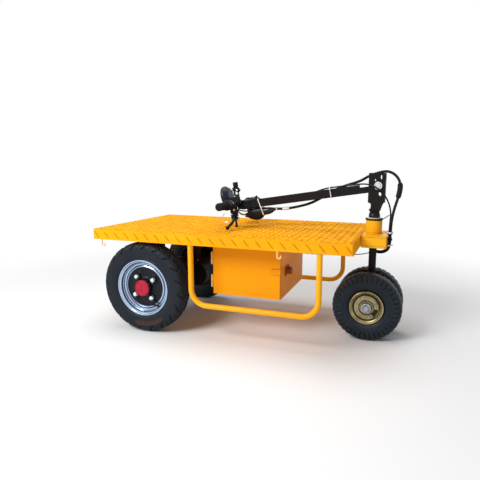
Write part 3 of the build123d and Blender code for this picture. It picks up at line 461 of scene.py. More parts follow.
worn_zinc = finish(
    "worn_zinc", (0.5, 0.52, 0.56), (0.22, 0.23, 0.25), 90, 0.32, 900, 0.06, metallic=0.85, edge=0.6,
    edge_highlight_tone=(0.8, 0.82, 0.85), drift=0.9, crevice=5, crevice_shade_tone=(0.03, 0.03, 0.035),
)
gold_zinc = finish(
    "gold_zinc", (0.44, 0.36, 0.17), (0.2, 0.17, 0.08), 22, 0.3, 500, 0.04, metallic=0.75, edge=0.6,
    edge_highlight_tone=(0.9, 0.84, 0.6), drift=0.9, crevice=7, crevice_shade_tone=(0.03, 0.025, 0.01),
)
gap_shade = finish("gap_shade", (0.03, 0.026, 0.012), (0.05, 0.042, 0.02), 60, 0.5, 700, 0.05, gloss=0.1)
red_paint = finish(
    "red_paint", (0.48, 0.006, 0.034), (0.36, 0.004, 0.026), 40, 0.4, 700, 0.05, gloss=0.3, crevice=2.5,
    crevice_shade_tone=(0.12, 0.002, 0.012),
)
white_nylon = finish("white_nylon", (0.78, 0.79, 0.8), (0.7, 0.7, 0.69), 60, 0.38, 900, 0.04)
panel_rubber = finish(
    "panel_rubber", (0.032, 0.012, 0.008), (0.05, 0.02, 0.009), 9, 0.5, 650, 0.1, gloss=0.3,
)
old_nylon = finish("old_nylon", (0.8, 0.76, 0.48), (0.7, 0.66, 0.4), 60, 0.4, 900, 0.04)
hinge_cream = finish(
    "hinge_cream", (0.86, 0.66, 0.36), (0.8, 0.56, 0.26), 40, 0.4, 900, 0.04, coat=0.1, gloss=0.3,
)
# Lock, dial and chain: a darker brown copy of the box's orange, as painted shade.
lock_shade_brown = finish(
    "lock_shade_brown", (0.28, 0.075, 0.008), (0.2, 0.05, 0.006), 60, 0.35, 900, 0.05, gloss=0.3, edge=0.6,
    edge_highlight_tone=(0.6, 0.26, 0.05),
)
# Axle brackets: a near-black red-brown for the shade they sit in, as painted shade.
bracket_shade = finish("bracket_painted_shade", (0.06, 0.012, 0.008), (0.04, 0.008, 0.006), 12, 0.6, 700, 0.06, gloss=0.1)
cream = finish("cream_seal", (0.85, 0.78, 0.55), (0.78, 0.7, 0.46), 40, 0.4, 900, 0.04)

node_materials = {
    deck_yellow: ("deck_plate",),
    yellow: ("frame_cross_members", "frame_rails", "head_box", "head_tube", "side_guards"),
    box_orange: ("battery_box", "battery_door", "door_strap"),
    bracket_shade: ("axle_brackets",),
    lock_shade_brown: ("lock_body",),
    hinge_cream: ("hinge_pins", "door_hinges"),
    black_paint: (
        "steering_post", "steering_yoke", "tow_arm", "handlebar", "axle_housing", "drive_motor",
        "brake_backplates", "rear_hub_right", "rear_hub_left",
    ),
    black_gloss: ("rear_wheel_disc_right", "rear_wheel_disc_left"),
    zinc: ("head_bearings", "pivot_bolt", "front_axle", "front_hubs"),
    hook_wire: ("rope_hooks",),
    blue_reflection_silver: ("rear_rim_right", "rear_rim_left"),
    gold_zinc: ("front_rims",),
    red_paint: ("hub_cap_right", "hub_cap_left"),
    tyre_rubber: ("rear_tyre_right", "rear_tyre_left"),
    front_rubber: ("front_tyres",),
    black_plastic: ("batteries", "motor_controller", "brake_levers", "key_switch"),
    pod_shell: ("display_pod",),
    rubber: ("grips", "cable_boots", "cable_clips"),
    cable_skin: (
        "arm_cable", "pivot_cable", "loop_cable", "cable_sleeve", "bundle_cable", "brake_cable_arm",
        "brake_cable_pivot", "brake_cable_loop", "lever_cable", "pod_leads",
    ),
    grey_skin: ("brake_wire",),
}
for node_material, names in node_materials.items():
    for name in names:
        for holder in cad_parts[name].material_slots:
            holder.material = node_material


# Cables: the control points of each route, in millimetres

def smooth_route(points):
    """Points read from the NURBS spline that has the route's points as its control points."""
    line = bpy.data.curves.new("route", "CURVE")
    line.dimensions = "3D"
    spline = line.splines.new("NURBS")
    spline.points.add(len(points) - 1)
    for control, point in zip(spline.points, points):
        control.co = (*mm(*point), 1)
    spline.order_u = 3
    spline.use_endpoint_u = True
    spline.resolution_u = 10
    holder = bpy.data.objects.new("route", line)
    mesh = bpy.data.meshes.new_from_object(holder)
    path = [vertex.co.copy() for vertex in mesh.vertices]
    bpy.data.objects.remove(holder)
    return path


def stretch_of(path, start, end):
    """The part of a path between two shares of its length."""
    lengths = np.cumsum([0] + [(b - a).length for a, b in zip(path, path[1:])])
    shares = lengths / lengths[-1]
    inside = [point for point, share in zip(path, shares) if start < share < end]

    def at(share):
        index = min(int(np.searchsorted(shares, share)), len(path) - 1) or 1
        local = (share - shares[index - 1]) / (shares[index] - shares[index - 1])
        return path[index - 1].lerp(path[index], local)

    return [at(start)] + inside + [at(end)]


main_radius, bundle_radius, brake_radius, lever_radius, sleeve_radius = 6.4, 8.0, 3.5, 3.0, 12.0
arm_route = smooth_route([
    (94.6, 0, 592.8), (135, 2, 592), (200, 7, 604.5), (262, 19, 621.5), (312, 29, 648), (368, 28, 684),
    (425, 28, 711), (468, 28, 723.9),
])
pivot_points = [(468.4, 28, 724), (498, 28, 732.9), (541, 39.5, 761.4), (575, 39.5, 772.4)]
loop_points = [
    (575.5, 39.5, 772.6), (610, 39.5, 783.8), (646.2, 38, 773.8), (672.8, 34, 747.2), (682, 28, 714),
    (675.5, 18, 668), (659, 4, 608), (650, -10, 552), (650, -17, 509.3),
]
brake_arm_route = smooth_route([
    (-91, 99.5, 579), (-88, 62, 580), (-40, 29, 598), (60, 25, 625), (160, 25, 642), (250, 26.5, 661),
    (322, 22, 694), (388, 12, 706), (450, -2, 714), (488, -12, 719.5),
])
brake_pivot_points = [
    (488.5, -12.1, 719.6), (514, -18.8, 723.3), (548, -41, 722), (580, -47, 708), (596, -47, 695.5),
]
brake_loop_points = [
    (596.3, -47, 695.3), (612, -47, 683), (636, -40, 645), (648, -30, 597), (645, -27, 548),
    (644, -27, 508.6),
]
bundle_route = smooth_route([
    (648, -20, 497.2), (649, -17, 455), (640, -3, 420), (608, 20, 402), (571, 40, 406), (571, 40, 440.8),
])
lever_route = smooth_route([
    (-89, -99.3, 590), (-89, -72, 587), (-82, -32, 579), (-70, -8, 575), (-55.5, -6, 575),
])
pod_lead_routes = [
    smooth_route([(-102.5, -47, 596.8), (-103, -45, 588), (-98, -38, 575), (-88, -24, 561), (-77, -10, 554),
                  (-66.8, -4.4, 555.2)]),
    smooth_route([(-103.5, -26, 597.1), (-104, -25, 586), (-99, -17, 571), (-88, -3, 559), (-76, 5, 557),
                  (-66.5, 4.4, 558)]),
]
brake_wire_route = smooth_route([
    (185.3, 26, 374), (250, 27, 371), (315, 26, 371.5), (380, 25.5, 374), (445, 26, 378.5),
    (505, 27, 384), (551, 26, 393), (571, 26.5, 412), (571, 26.5, 440.8),
])


def cable(name, path, radius, body, material=cable_skin, ending=""):
    form = Form()
    form.tube(path, radius, 14)
    return form.piece(name + ending + "_skin", material, body, "rubber", sharp=60, replaces=(name,))


def bridging_cable(name, points, radius):
    """A cable between two bodies, left with no body and with its placement baked into its mesh."""
    piece = cable(name, smooth_route(points), radius, None)
    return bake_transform(piece)


cable("arm_cable", arm_route, main_radius, "tow_arm")
cable("brake_cable_arm", brake_arm_route, brake_radius, "tow_arm")
cable("lever_cable", lever_route, lever_radius, "tow_arm")
cable("bundle_cable", bundle_route, bundle_radius, "chassis")
cable("brake_wire", brake_wire_route, 2.3, "chassis", grey_skin)
for number, (route, skin) in enumerate(zip(pod_lead_routes, (old_nylon, cable_skin)), 1):
    cable("pod_leads", route, 2.2, "tow_arm", skin, f"_{number}")
bridging_cable("pivot_cable", pivot_points, main_radius)
bridging_cable("brake_cable_pivot", brake_pivot_points, brake_radius)
bridging_cable("loop_cable", loop_points, main_radius)
bridging_cable("brake_cable_loop", brake_loop_points, brake_radius)

sleeve = Form()
sleeve.tube(
    stretch_of(smooth_route(loop_points), 0.36, 0.56),
    lambda share: sleeve_radius - 4 * (1 - smoothstep(0, 0.09, min(share, 1 - share)))
    + 0.25 * math.sin(share * 14 * TURN), 20,
)
sleeve_piece = sleeve.piece(
    "cable_sleeve_skin", rubber, None, "rubber", sharp=60, replaces=("cable_sleeve",),
)
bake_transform(sleeve_piece)


# Deck: raised bars of the chequer plate on the top, and slanting ones along the skirt; the top bars are
# lighter as painted light and the skirt bars darker as painted shade

deck_low, deck_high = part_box("deck_plate")
deck_size, deck_middle = (deck_high - deck_low) / MM, (deck_low + deck_high) / 2
bar_pitch, bar_margin, bar_size = 30.0, 24, (30.0, 8.0, 2.2)
skirt_pitch, skirt_margin, skirt_start, skirt_bar_size = 55.0, 30, 22, (52.0, 6.0, 1.4)
skirt_inset, skirt_slant = 1.5, math.radians(-48)


def raised_bar(form, place, size):
    length, width, height = size
    half, shoulder, side = length / 2, length / 4, width / 2
    points = [
        (-half, 0, -0.2), (-shoulder, -side, -0.2), (shoulder, -side, -0.2), (half, 0, -0.2),
        (shoulder, side, -0.2), (-shoulder, side, -0.2), (-shoulder, -side * 0.35, height),
        (shoulder, -side * 0.35, height), (shoulder, side * 0.35, height),
        (-shoulder, side * 0.35, height),
    ]
    faces = [
        (5, 4, 3, 2, 1, 0), (6, 7, 8, 9), (1, 2, 7, 6), (4, 5, 9, 8), (0, 1, 6), (0, 6, 9), (0, 9, 5),
        (3, 7, 2), (3, 8, 7), (3, 4, 8),
    ]
    form.add(np.array(points) * MM, faces, place)


def deck_sheet():
    """Folded sheet with a rounded edge, a little inside the solid's skirt."""
    loops = []
    for inset, height in (
        (4, -3), (4, -deck_size.z), (skirt_inset, -deck_size.z), (skirt_inset, -3.4),
        (skirt_inset + 0.5, -1.6), (skirt_inset + 1.7, -0.4), (skirt_inset + 3.6, 0),
    ):
        half_x, half_y, corner = deck_size.x / 2 - inset, deck_size.y / 2 - inset, max(8 - inset, 3)
        loops.append([
            deck_middle + mm(x, y, 0) + Vector((0, 0, deck_high.z - deck_middle.z)) + mm(0, 0, height)
            for _, x, y in rounded_loop(half_x, -half_y, half_y, corner)
        ])
    skin = Form()
    skin.grid(loops)
    skin.piece("deck_sheet", deck_yellow, "chassis", "yellow_paint", replaces=("deck_plate",))


def skirt_bars():
    bars = Form()
    height = (deck_low.z + deck_high.z) / 2 - MM
    slant = turned(skirt_slant, "Z")
    for side in (-1, 1):
        face = Matrix.Translation((0, side * (deck_high.y - skirt_inset * MM), height)) @ outward(side)
        for index in range(int((deck_size.x - skirt_margin) / skirt_pitch) + 1):
            spot = Matrix.Translation((deck_low.x + (skirt_start + index * skirt_pitch) * MM, 0, 0))
            raised_bar(bars, spot @ face @ slant, skirt_bar_size)
    for end, turn in ((deck_low.x + skirt_inset * MM, -1), (deck_high.x - skirt_inset * MM, 1)):
        face = turned(turn * math.pi / 2, "Z") @ turned(math.pi / 2, "X")
        for index in range(int((deck_size.y - skirt_margin) / skirt_pitch) + 1):
            spot = Matrix.Translation((end, deck_low.y + (skirt_start + index * skirt_pitch) * MM, height))
            raised_bar(bars, spot @ face @ slant, skirt_bar_size)
    bars.piece("skirt_bars", skirt_bar_shade, "chassis", "yellow_paint", sharp=20)


def chequer_bars():
    bars = Form()
    columns, rows = (int((reach - bar_margin) / bar_pitch) for reach in (deck_size.x, deck_size.y))
    for i in range(columns + 1):
        for j in range(rows + 1):
            spot = Vector((
                deck_middle.x + (i - columns / 2) * bar_pitch * MM,
                deck_middle.y + (j - rows / 2) * bar_pitch * MM, deck_high.z,
            ))
            turn = math.radians(45 if (i + j) % 2 else -45)
            raised_bar(bars, Matrix.Translation(spot) @ turned(turn, "Z"), bar_size)
    bars.piece("chequer_bars", lit_bar_yellow, "chassis", "yellow_paint", sharp=20)


deck_sheet()
skirt_bars()
chequer_bars()


# Wheels: each is built about its middle, with local Z pointing outwards

def profile_normals(profile):
    """Unit normals of a closed (radius, height) profile, away from its middle."""
    ahead = np.roll(profile, -1, axis=0) - np.roll(profile, 1, axis=0)
    normals = np.stack([-ahead[:, 1], ahead[:, 0]], axis=1)
    normals /= np.linalg.norm(normals, axis=1, keepdims=True)
    centre = profile.mean(axis=0)
    if np.mean(np.sum(normals * (profile - centre), axis=1)) < 0:
        normals = -normals
    return normals


def resample(points, count):
    points = np.array(points, float)
    steps = np.cumsum([0] + list(np.linalg.norm(np.diff(points, axis=0), axis=1)))
    wanted = np.linspace(0, steps[-1], count)
    return np.stack([np.interp(wanted, steps, points[:, k]) for k in (0, 1)], axis=1)


def round_section(points, rounds=3):
    """Chaikin's corner cutting, which keeps the ends."""
    points = [np.array(p, float) for p in points]
    for _ in range(rounds):
        cut = [points[0]]
        for a, b in zip(points, points[1:]):
            cut += [a * 0.75 + b * 0.25, a * 0.25 + b * 0.75]
        points = cut + [points[-1]]
    return points


def tyre_form(outer, inner, steps, cut, place):
    """Tyre shell: cut(angle, radius, height) says how deep the tread is cut, in millimetres."""
    outside = resample(round_section(outer), 58)
    inside = resample(inner, 8)
    profile = np.concatenate([outside, inside])
    normals = profile_normals(profile)
    rows = []
    for index in range(steps):
        angle = TURN * index / steps
        depth = np.zeros(len(profile))
        depth[:len(outside)] = cut(angle, outside[:, 0], outside[:, 1])
        moved = (profile - normals * depth[:, None]) * MM
        rows.append(np.stack(
            [moved[:, 0] * math.cos(angle), moved[:, 0] * math.sin(angle), moved[:, 1]], axis=1,
        ))
    form = Form()
    form.grid(rows, place, along=True)
    return form


def mirrored(points):
    return points + [(radius, -height) for radius, height in reversed(points) if height > 0]


def wave(value):
    """Triangle wave between -1 and 1."""
    return 4 * np.abs(value - np.floor(value + 0.5)) - 1


rear_pitches = 20


def rear_tread(angle, radius, height):
    lateral = np.abs(height) / 48 + np.clip((214 - radius) / 60, 0, 1)
    pitch = angle / TURN * rear_pitches
    offset = np.where(height > 0, 0.0, 0.5)
    bend = np.where(lateral < 0.7, lateral * 0.75, 1.05 - lateral * 0.75) + 0.1 * (lateral > 1.02)
    local = pitch + offset + bend
    distance = np.abs(local - np.round(local))
    reach = smoothstep(0.2, 0.26, lateral) * (1 - smoothstep(1.36, 1.42, lateral))
    sideways = (1 - smoothstep(0.065, 0.1, distance)) * reach
    sipe = (1 - smoothstep(0.015, 0.035, np.abs(distance - 0.5))) * reach * (lateral < 1.2)
    ring = 1 - smoothstep(0.03, 0.06, np.abs(lateral - 0.2 - 0.04 * wave(pitch)))
    shoulder = 1 - smoothstep(0.8, 1.8, np.abs(radius - 184))
    bead = 1 - smoothstep(0.6, 1.6, np.abs(radius - 151))
    return 5 * np.maximum(sideways, ring) + 2 * sipe + 0.9 * shoulder + 1.1 * bead


sides = (("right", -1), ("left", 1))
nut_count, nut_circle, nut_seat, nut_start = 4, 63, 22, math.radians(38.5)
panel_radius, panel_half_width, panel_middle, panel_half_turn = 174, 11.5, -78, 27
valve_turn = math.radians(-50)


def nut_places(place):
    return [
        place @ (turned(nut_start + TURN * index / nut_count, "Z") @ shift(nut_circle, 0, nut_seat))
        for index in range(nut_count)
    ]


def rear_tyre(side_name, place):
    outer = mirrored([
        (128, 35), (137, 36.5), (141, 41), (150, 45.5), (165, 48), (183, 48.3), (196, 47), (206, 43.5),
        (214, 36), (218.4, 24), (219.8, 10), (220, 0),
    ])
    inner = [(128, -26), (180, -38), (206, -26), (206, 26), (180, 38), (128, 26)]
    tyre = tyre_form(outer, inner, rear_pitches * 39, rear_tread, place)
    tyre.piece(
        f"rear_tyre_{side_name}_tread", tyre_rubber, f"rear_wheel_{side_name}", "tyre", sharp=28,
        replaces=(f"rear_tyre_{side_name}",),
    )


def rear_rim(side_name, place):
    rim = Form()
    rim.lathe([
        (136.8, 37), (137.2, 39.5), (136, 41.4), (133.6, 42), (131.4, 41), (130, 38.4), (128.4, 36.4),
        (125.4, 35.4), (123.8, 33.6), (123.2, 29), (122.2, 26.6), (119.4, 25.4), (117.8, 23.6),
        (116.8, 19.6), (114.8, 16.8), (110.6, 15.4), (106.4, 15.2), (103.4, 16.4), (100.6, 18.2),
        (98, 18.4), (96.2, 17), (95.4, 14), (95.2, 8), (95.2, 3), (104, 2), (106, -12), (123, -21),
        (123.5, -38), (136, -40.6), (137, -37), (127.4, -36), (127.2, -21), (110.4, -13), (110.4, 12.6),
        (127, 21), (127.4, 36),
    ], place, 112, closed=True)
    rim.piece(
        f"rear_rim_{side_name}_rings", blue_reflection_silver, f"rear_wheel_{side_name}", "silver_paint", sharp=28,
        replaces=(f"rear_rim_{side_name}",),
    )


# A black sheet over the rim's inner face, as painted shade.
def rim_shade_liner(side_name, place):
    liner = Form()
    liner.lathe([
        (95.5, 1.2), (103.4, 1.2), (105.3, -12.5), (122.3, -21.6), (122.8, -38.8), (136.2, -41.3),
        (136.4, -40.9), (123.2, -38.4), (122.7, -21.3), (105.7, -12.1), (103.9, 1.7), (95.5, 1.7),
    ], place, 96, closed=True)
    liner.piece(f"rim_inside_shade_{side_name}", black_paint, f"rear_wheel_{side_name}", "black_paint")


def rim_grooves(side_name, place):
    grooves = Form()
    strips = (
        [(123.3, 33.4), (122.8, 29.2), (121.9, 26.9), (119.3, 25.8)],
        [(109.8, 15.7), (106.4, 15.5), (104, 16.5)], [(98.4, 18.7), (95.9, 17.2), (95.1, 14), (94.9, 9)],
    )
    for strip in strips:
        grooves.lathe(
            strip + [(radius + 0.25, height - 0.25) for radius, height in reversed(strip)], place, 112,
            closed=True,
        )
    grooves.piece(f"rim_grooves_{side_name}", groove_blue, f"rear_wheel_{side_name}", "silver_paint")


def rear_disc(side_name, place):
    disc = Form()
    steps, rings, bore, edge, back = 120, 16, 34, 95.6, 3
    rows = []
    for ring_index in range(rings + 1):
        radius = bore + (edge - bore) * ring_index / rings
        row = []
        for step in range(steps):
            angle = TURN * step / steps
            lobe = 0.5 + 0.5 * math.cos(nut_count * (angle - nut_start))
            pad = 12 * lobe ** 1.5 * math.exp(-((radius - 64) / 20) ** 2)
            cone = 5.5 * math.exp(-((radius - 40) / 9) ** 2)
            rim_roll = 2.5 * smoothstep(84, 94, radius)
            row.append(polar(radius, angle, 11 + pad + cone + rim_roll))
        rows.append(row)
    rows += [[(x, y, back * MM) for x, y, _ in row] for row in (rows[-1], rows[0])]
    disc.grid(rows, place, along=True)
    for nut_place in nut_places(place):
        disc.lathe(
            [(13, -8), (20, -8), (20, 2.6), (19, 4), (17.4, 4.4), (15.6, 3.4), (15, 0), (13, -1)],
            nut_place, 32, closed=True,
        )
    disc.piece(
        f"rear_disc_{side_name}_pressed", black_gloss, f"rear_wheel_{side_name}", "black_paint", sharp=40,
        replaces=(f"rear_wheel_disc_{side_name}",),
    )


def wheel_nuts(side_name, place):
    nuts = Form()
    for nut_place in nut_places(place):
        nuts.prism(ring_outline(6, 12.6), -2, 8, nut_place, bevel=1.2)
        nuts.lathe([(11, 6)] + [
            (10.8 * math.cos(math.radians(a)), 8 + 9 * math.sin(math.radians(a))) for a in range(0, 90, 12)
        ] + [(0.6, 17.1)], nut_place, 28)
    nuts.piece(f"wheel_nuts_{side_name}", chrome, f"rear_wheel_{side_name}", "zinc", sharp=40)


def hub_cap(side_name, place):
    cap = Form()
    rows = []
    cap_edge = {37.6: 40, 38.6: 41, 38.4: 45.5, 37.4: 47.2, 36: 48, 35: 47.2}
    for radius in list(cap_edge) + [34.4 * k / 24 for k in range(24, 0, -1)]:
        height = cap_edge.get(radius)
        row = []
        for step in range(132):
            angle = TURN * step / 132
            x, y = radius * math.cos(angle), radius * math.sin(angle)
            weave = 1.4 * max(abs(wave(x / 9)), abs(wave(y / 9))) ** 3
            row.append((x * MM, y * MM, (height if height else 45.4 + weave) * MM))
        rows.append(row)
    cap.grid(rows, place)
    cap.piece(
        f"hub_cap_{side_name}_grid", red_paint, f"rear_wheel_{side_name}", "red_paint", sharp=40,
        replaces=(f"hub_cap_{side_name}",),
    )


def hub_boss(side_name, place):
    boss = Form()
    boss.lathe([(28, 11), (46, 12.5), (43, 15), (40.6, 19), (39.8, 39), (39, 40.4), (28, 40.4)], place, 64)
    boss.piece(f"hub_boss_{side_name}", black_gloss, f"rear_wheel_{side_name}", "black_paint", sharp=40)


def tyre_panel(side_name, place):
    panel = Form()
    rows = []
    for index in range(61):
        share = index / 30 - 1
        reach = panel_half_width * (1 - abs(share) ** 8) ** 0.5 + 0.3
        angle = math.radians(panel_middle + panel_half_turn * share)
        rows.append([
            polar(panel_radius + out, angle, height)
            for out, height in ((-reach, 46.5), (-reach, 48.6), (0.8 - reach, 49.2), (2 - reach, 48.8),
                                (reach - 2, 48.8), (reach - 0.8, 49.2), (reach, 48.6), (reach, 46.5))
        ])
    panel.grid(rows, place)
    panel.piece(f"tyre_panel_{side_name}", panel_rubber, f"rear_wheel_{side_name}", "tyre", sharp=30)


def valve_stem(side_name, place):
    valve = Form()
    base = place @ turned(valve_turn, "Z")
    valve.tube([base @ mm(*p) for p in ((118, 0, 22), (112, 0, 25), (104, -4, 30), (96, -9, 34))],
               lambda share: 6.2 - 2.4 * smoothstep(0, 0.5, share), 14)
    valve.tube([base @ mm(*p) for p in ((97, -8.4, 33.5), (88, -14, 38))], 4.6, 10)
    valve.piece(f"valve_stem_{side_name}", rubber, f"rear_wheel_{side_name}", "rubber", sharp=40)


for side_name, side in sides:
    wheel = Matrix.Translation(node_middle(f"rear_tyre_{side_name}")) @ outward(side)
    for build in (
        rear_tyre, rear_rim, rim_shade_liner, rim_grooves, rear_disc, wheel_nuts, hub_cap, hub_boss, tyre_panel,
        valve_stem,
    ):
        build(side_name, wheel)


front_pitches, front_wheel_y = 38, 64


def front_tread(angle, radius, height):
    pitch = angle / TURN * front_pitches + np.where(height > 0, 0.0, 0.5)
    place_in_pitch = np.abs((pitch + 0.5) - np.floor(pitch + 0.5) - 0.5)
    knob = 1 - smoothstep(0.33, 0.37, place_in_pitch)
    inner = smoothstep(3.5, 5.5, np.abs(height) + 1.6 * wave(pitch * 2))
    tread = smoothstep(119, 123, radius)
    sipe = (1 - smoothstep(0.6, 1.3, np.abs(np.abs(height) - 21))) * (radius > 150)
    deep = 5 - 2.5 * smoothstep(146, 156, radius)
    return tread * deep * (1 - knob * inner) + 1.6 * sipe * knob


def front_tyre(side_name, place):
    outer = mirrored([
        (70, 25.5), (79, 27), (83, 31), (92, 36), (106, 38.6), (120, 39), (134, 38), (146, 35),
        (155, 29.5), (158.8, 20), (159.8, 8), (160, 0),
    ])
    inner = [(70, -18), (120, -29), (145, -20), (145, 20), (120, 29), (70, 18)]
    tyre = tyre_form(outer, inner, front_pitches * 15, front_tread, place)
    tyre.piece(
        f"front_tyre_{side_name}_blocks", front_rubber, "front_wheels", "tyre", sharp=28,
        replaces=("front_tyres",),
    )


def front_rim(side_name, place):
    gap = Form()
    gap.sector(-48, 41, 14, ((36, 18.8), (36, 19.8), (40, 20.8), (52, 20.8), (56, 19.8), (56, 18.8)), place)
    gap.piece(f"front_rim_gap_{side_name}", gap_shade, "front_wheels", "gold_zinc")
    rim = Form()
    outer = [
        (78.3, 29), (78.8, 33), (78, 36), (76, 37.4), (73.4, 36.8), (70.6, 34), (67.8, 31.2),
        (65.2, 29.8), (63.2, 27.6), (61.4, 24.6), (60.4, 20),
    ]
    rim.lathe(
        outer + [(59, 19.4), (30, 19.2), (28, 18), (28, 15), (59, 14.6), (60.2, 8), (60.2, -8)]
        + [(radius, -height) for radius, height in reversed(outer[:-1])]
        + [(69.4, -26), (69.2, -15.8), (61.8, -10), (61.8, 10), (69.2, 15.8), (69.4, 26)],
        place, 96, closed=True,
    )
    rim.sector(
        -5, 315, 48, ((35, 19), (35, 27), (36.05, 28.4), (55.575, 28.4), (57, 27), (57, 19)), place,
    )
    rim.lathe([(24, 18), (31.4, 18), (31.4, 29), (30.4, 30.4), (26, 30.8), (24, 30)], place, 56, closed=True)
    rim.piece(
        f"front_rim_{side_name}_dish", gold_zinc, "front_wheels", "gold_zinc", sharp=28,
        replaces=("front_rims",),
    )


def front_bolts(side_name, place):
    bolts = Form()
    for angle in (37, 112, 200, 286):
        spin = place @ turned(math.radians(angle), "Z") @ shift(48, 0, 28)
        bolts.prism(ring_outline(6, 6.2, angle), 0, 5.5, spin, bevel=0.8)
        bolts.lathe([(7.6, -0.2), (7.6, 0.9), (6, 1.1), (0.5, 1.1)], spin, 24)
        bolts.lathe([(3, 5), (3, 7.4), (2.4, 8), (0.3, 8)], spin, 16)
    bolts.lathe([
        (19.4, 26), (23.6, 28), (24.2, 31), (24.2, 42), (22.6, 44.4), (19.4, 45.2), (16, 45.2), (11, 45),
    ], place, 48)
    nut_base = place @ shift(0, 0, 44)
    bolts.prism(ring_outline(6, 17, 0.3), 0, 8, nut_base, bevel=1.2)
    for index in range(6):
        spin = nut_base @ turned(TURN * index / 6 + 0.3, "Z")
        bolts.prism([(8.5, -3.2), (14.2, -2.8), (14.2, 2.8), (8.5, 3.2)], 7, 11.2, spin, bevel=0.6)
    bolts.lathe([(9.6, 6), (9.6, 10), (8.6, 11), (3, 11), (2.4, 10.2), (0.3, 10.2)], nut_base, 32)
    bolts.piece(f"front_bolts_{side_name}", worn_zinc, "front_wheels", "zinc")


front_middle = node_middle("front_tyres")
for side_name, side in sides:
    spot = (front_middle.x, side * front_wheel_y * MM, front_middle.z)
    wheel = Matrix.Translation(spot) @ outward(side)
    for build in (front_tyre, front_rim, front_bolts):
        build(side_name, wheel)


# Places on the tow arm: the arm runs back along its -X, and the bar lies along Y

arm_tilt, pod_tilt = math.radians(-8.95), math.radians(-96)
bar_offset, pod_offset, throttle_start = (-695, 0, 5.4), (-60, 0, 40.6), 126
pivot_place = Matrix.Translation(node_middle("pivot_bolt"))
arm_place = pivot_place @ turned(arm_tilt, "Y")
bar_place = arm_place @ shift(*bar_offset)
pod_place = bar_place @ shift(*pod_offset) @ turned(pod_tilt, "Y")
throttle_place = bar_place @ outward(-1) @ shift(0, 0, throttle_start)


def bolt_head(form, place, size, height, washer=0.0, flat=1.4):
    """Hexagon head on an optional washer, with local Z away from the seat."""
    base = flat if washer else 0
    if washer:
        form.lathe(
            [(0.3, -0.1), (washer, -0.1), (washer, flat * 0.7), (washer - 0.5, flat), (0.3, flat)], place,
            32,
        )
    form.prism(ring_outline(6, size, 0.4), base - 0.1, base + height, place, bevel=size * 0.08)


def rounded_form(rows, place, steps=40, power=2.6):
    """Skin over oval sections: rows of (x, half width, low, high), in millimetres."""
    skin = []
    for x, half_width, low, high, folds in rows:
        row = []
        for step in range(steps):
            angle = TURN * step / steps
            c, d = math.cos(angle), math.sin(angle)
            swell = 1 + folds * math.sin(3 * angle + x * 0.35) + folds * 0.7 * math.sin(5 * angle - x * 0.23)
            y = half_width * swell * math.copysign(abs(c) ** (2 / power), c)
            z = (high + low) / 2 + (high - low) / 2 * swell * math.copysign(abs(d) ** (2 / power), d)
            row.append((x * MM, y * MM, z * MM))
        skin.append(row)
    form = Form()
    form.grid(skin, place)
    return form


# Boots under the arm: a sagging bag with a rolled neck, and a glossy cone over the main cable

bag_rows = [
    (-566, 13, -64, -31, 0), (-568, 16, -70, -30, 0), (-573, 18.5, -77.5, -29, 0.006),
    (-581, 20, -84.5, -28.6, 0.012), (-592, 20.6, -89, -28.4, 0.016), (-604, 20.8, -90.2, -28.6, 0.02),
    (-616, 20.6, -89.4, -29.2, 0.02), (-628, 19.8, -86.6, -31, 0.024), (-638, 18.4, -82.6, -34.5, 0.03),
    (-647, 15.6, -78, -39.5, 0.03), (-654, 13, -74.5, -44.5, 0.02), (-659, 10.5, -71, -48.5, 0.01),
    (-662, 11, -71.8, -48.2, 0), (-664, 9.4, -70, -50, 0), (-667, 9.2, -69.4, -50.4, 0),
    (-669, 10, -70.2, -49.4, 0), (-670, 9, -69, -50.8, 0), (-668.6, 7.4, -67, -52.4, 0),
    (-663, 7, -66.4, -53, 0),
]
boot_bag = rounded_form(bag_rows, arm_place)
boot_bag.piece("boot_bag", boot_rubber, "tow_arm", "rubber", sharp=0, replaces=("cable_boots",), subdivide=1)
cone_rows = [
    (22, 15, 561, 593, 0), (26, 18, 557, 596, 0), (36, 18.8, 558, 597.6, 0), (48, 18.6, 560.4, 598.6, 0),
    (60, 17.6, 563.4, 599.2, 0), (70, 15.6, 567, 599.4, 0), (78, 13, 572, 599, 0),
    (84, 10.8, 577.6, 597.8, 0), (89, 9, 582.4, 597.6, 0), (93, 8.2, 584.4, 600.4, 0),
    (95, 7.6, 585.2, 599.6, 0), (95.4, 6.8, 586, 598.8, 0),
]
boot_cone = rounded_form(cone_rows, Matrix(), power=2.2)
boot_cone.piece("boot_cone", cone_rubber, "tow_arm", "rubber", sharp=0, subdivide=1)

cable_marks = Form()
cable_marks.tube(stretch_of(arm_route, 0.004, 0.016), 7.9, 20)
cable_marks.tube(stretch_of(arm_route, 0.084, 0.168), lambda share: 8 - 0.8 * abs(2 * share - 1) ** 12, 20)
cable_marks.piece("cable_label", white_nylon, "tow_arm", "rubber", sharp=40)

# Tape round the arm's rear, and the nylon ties

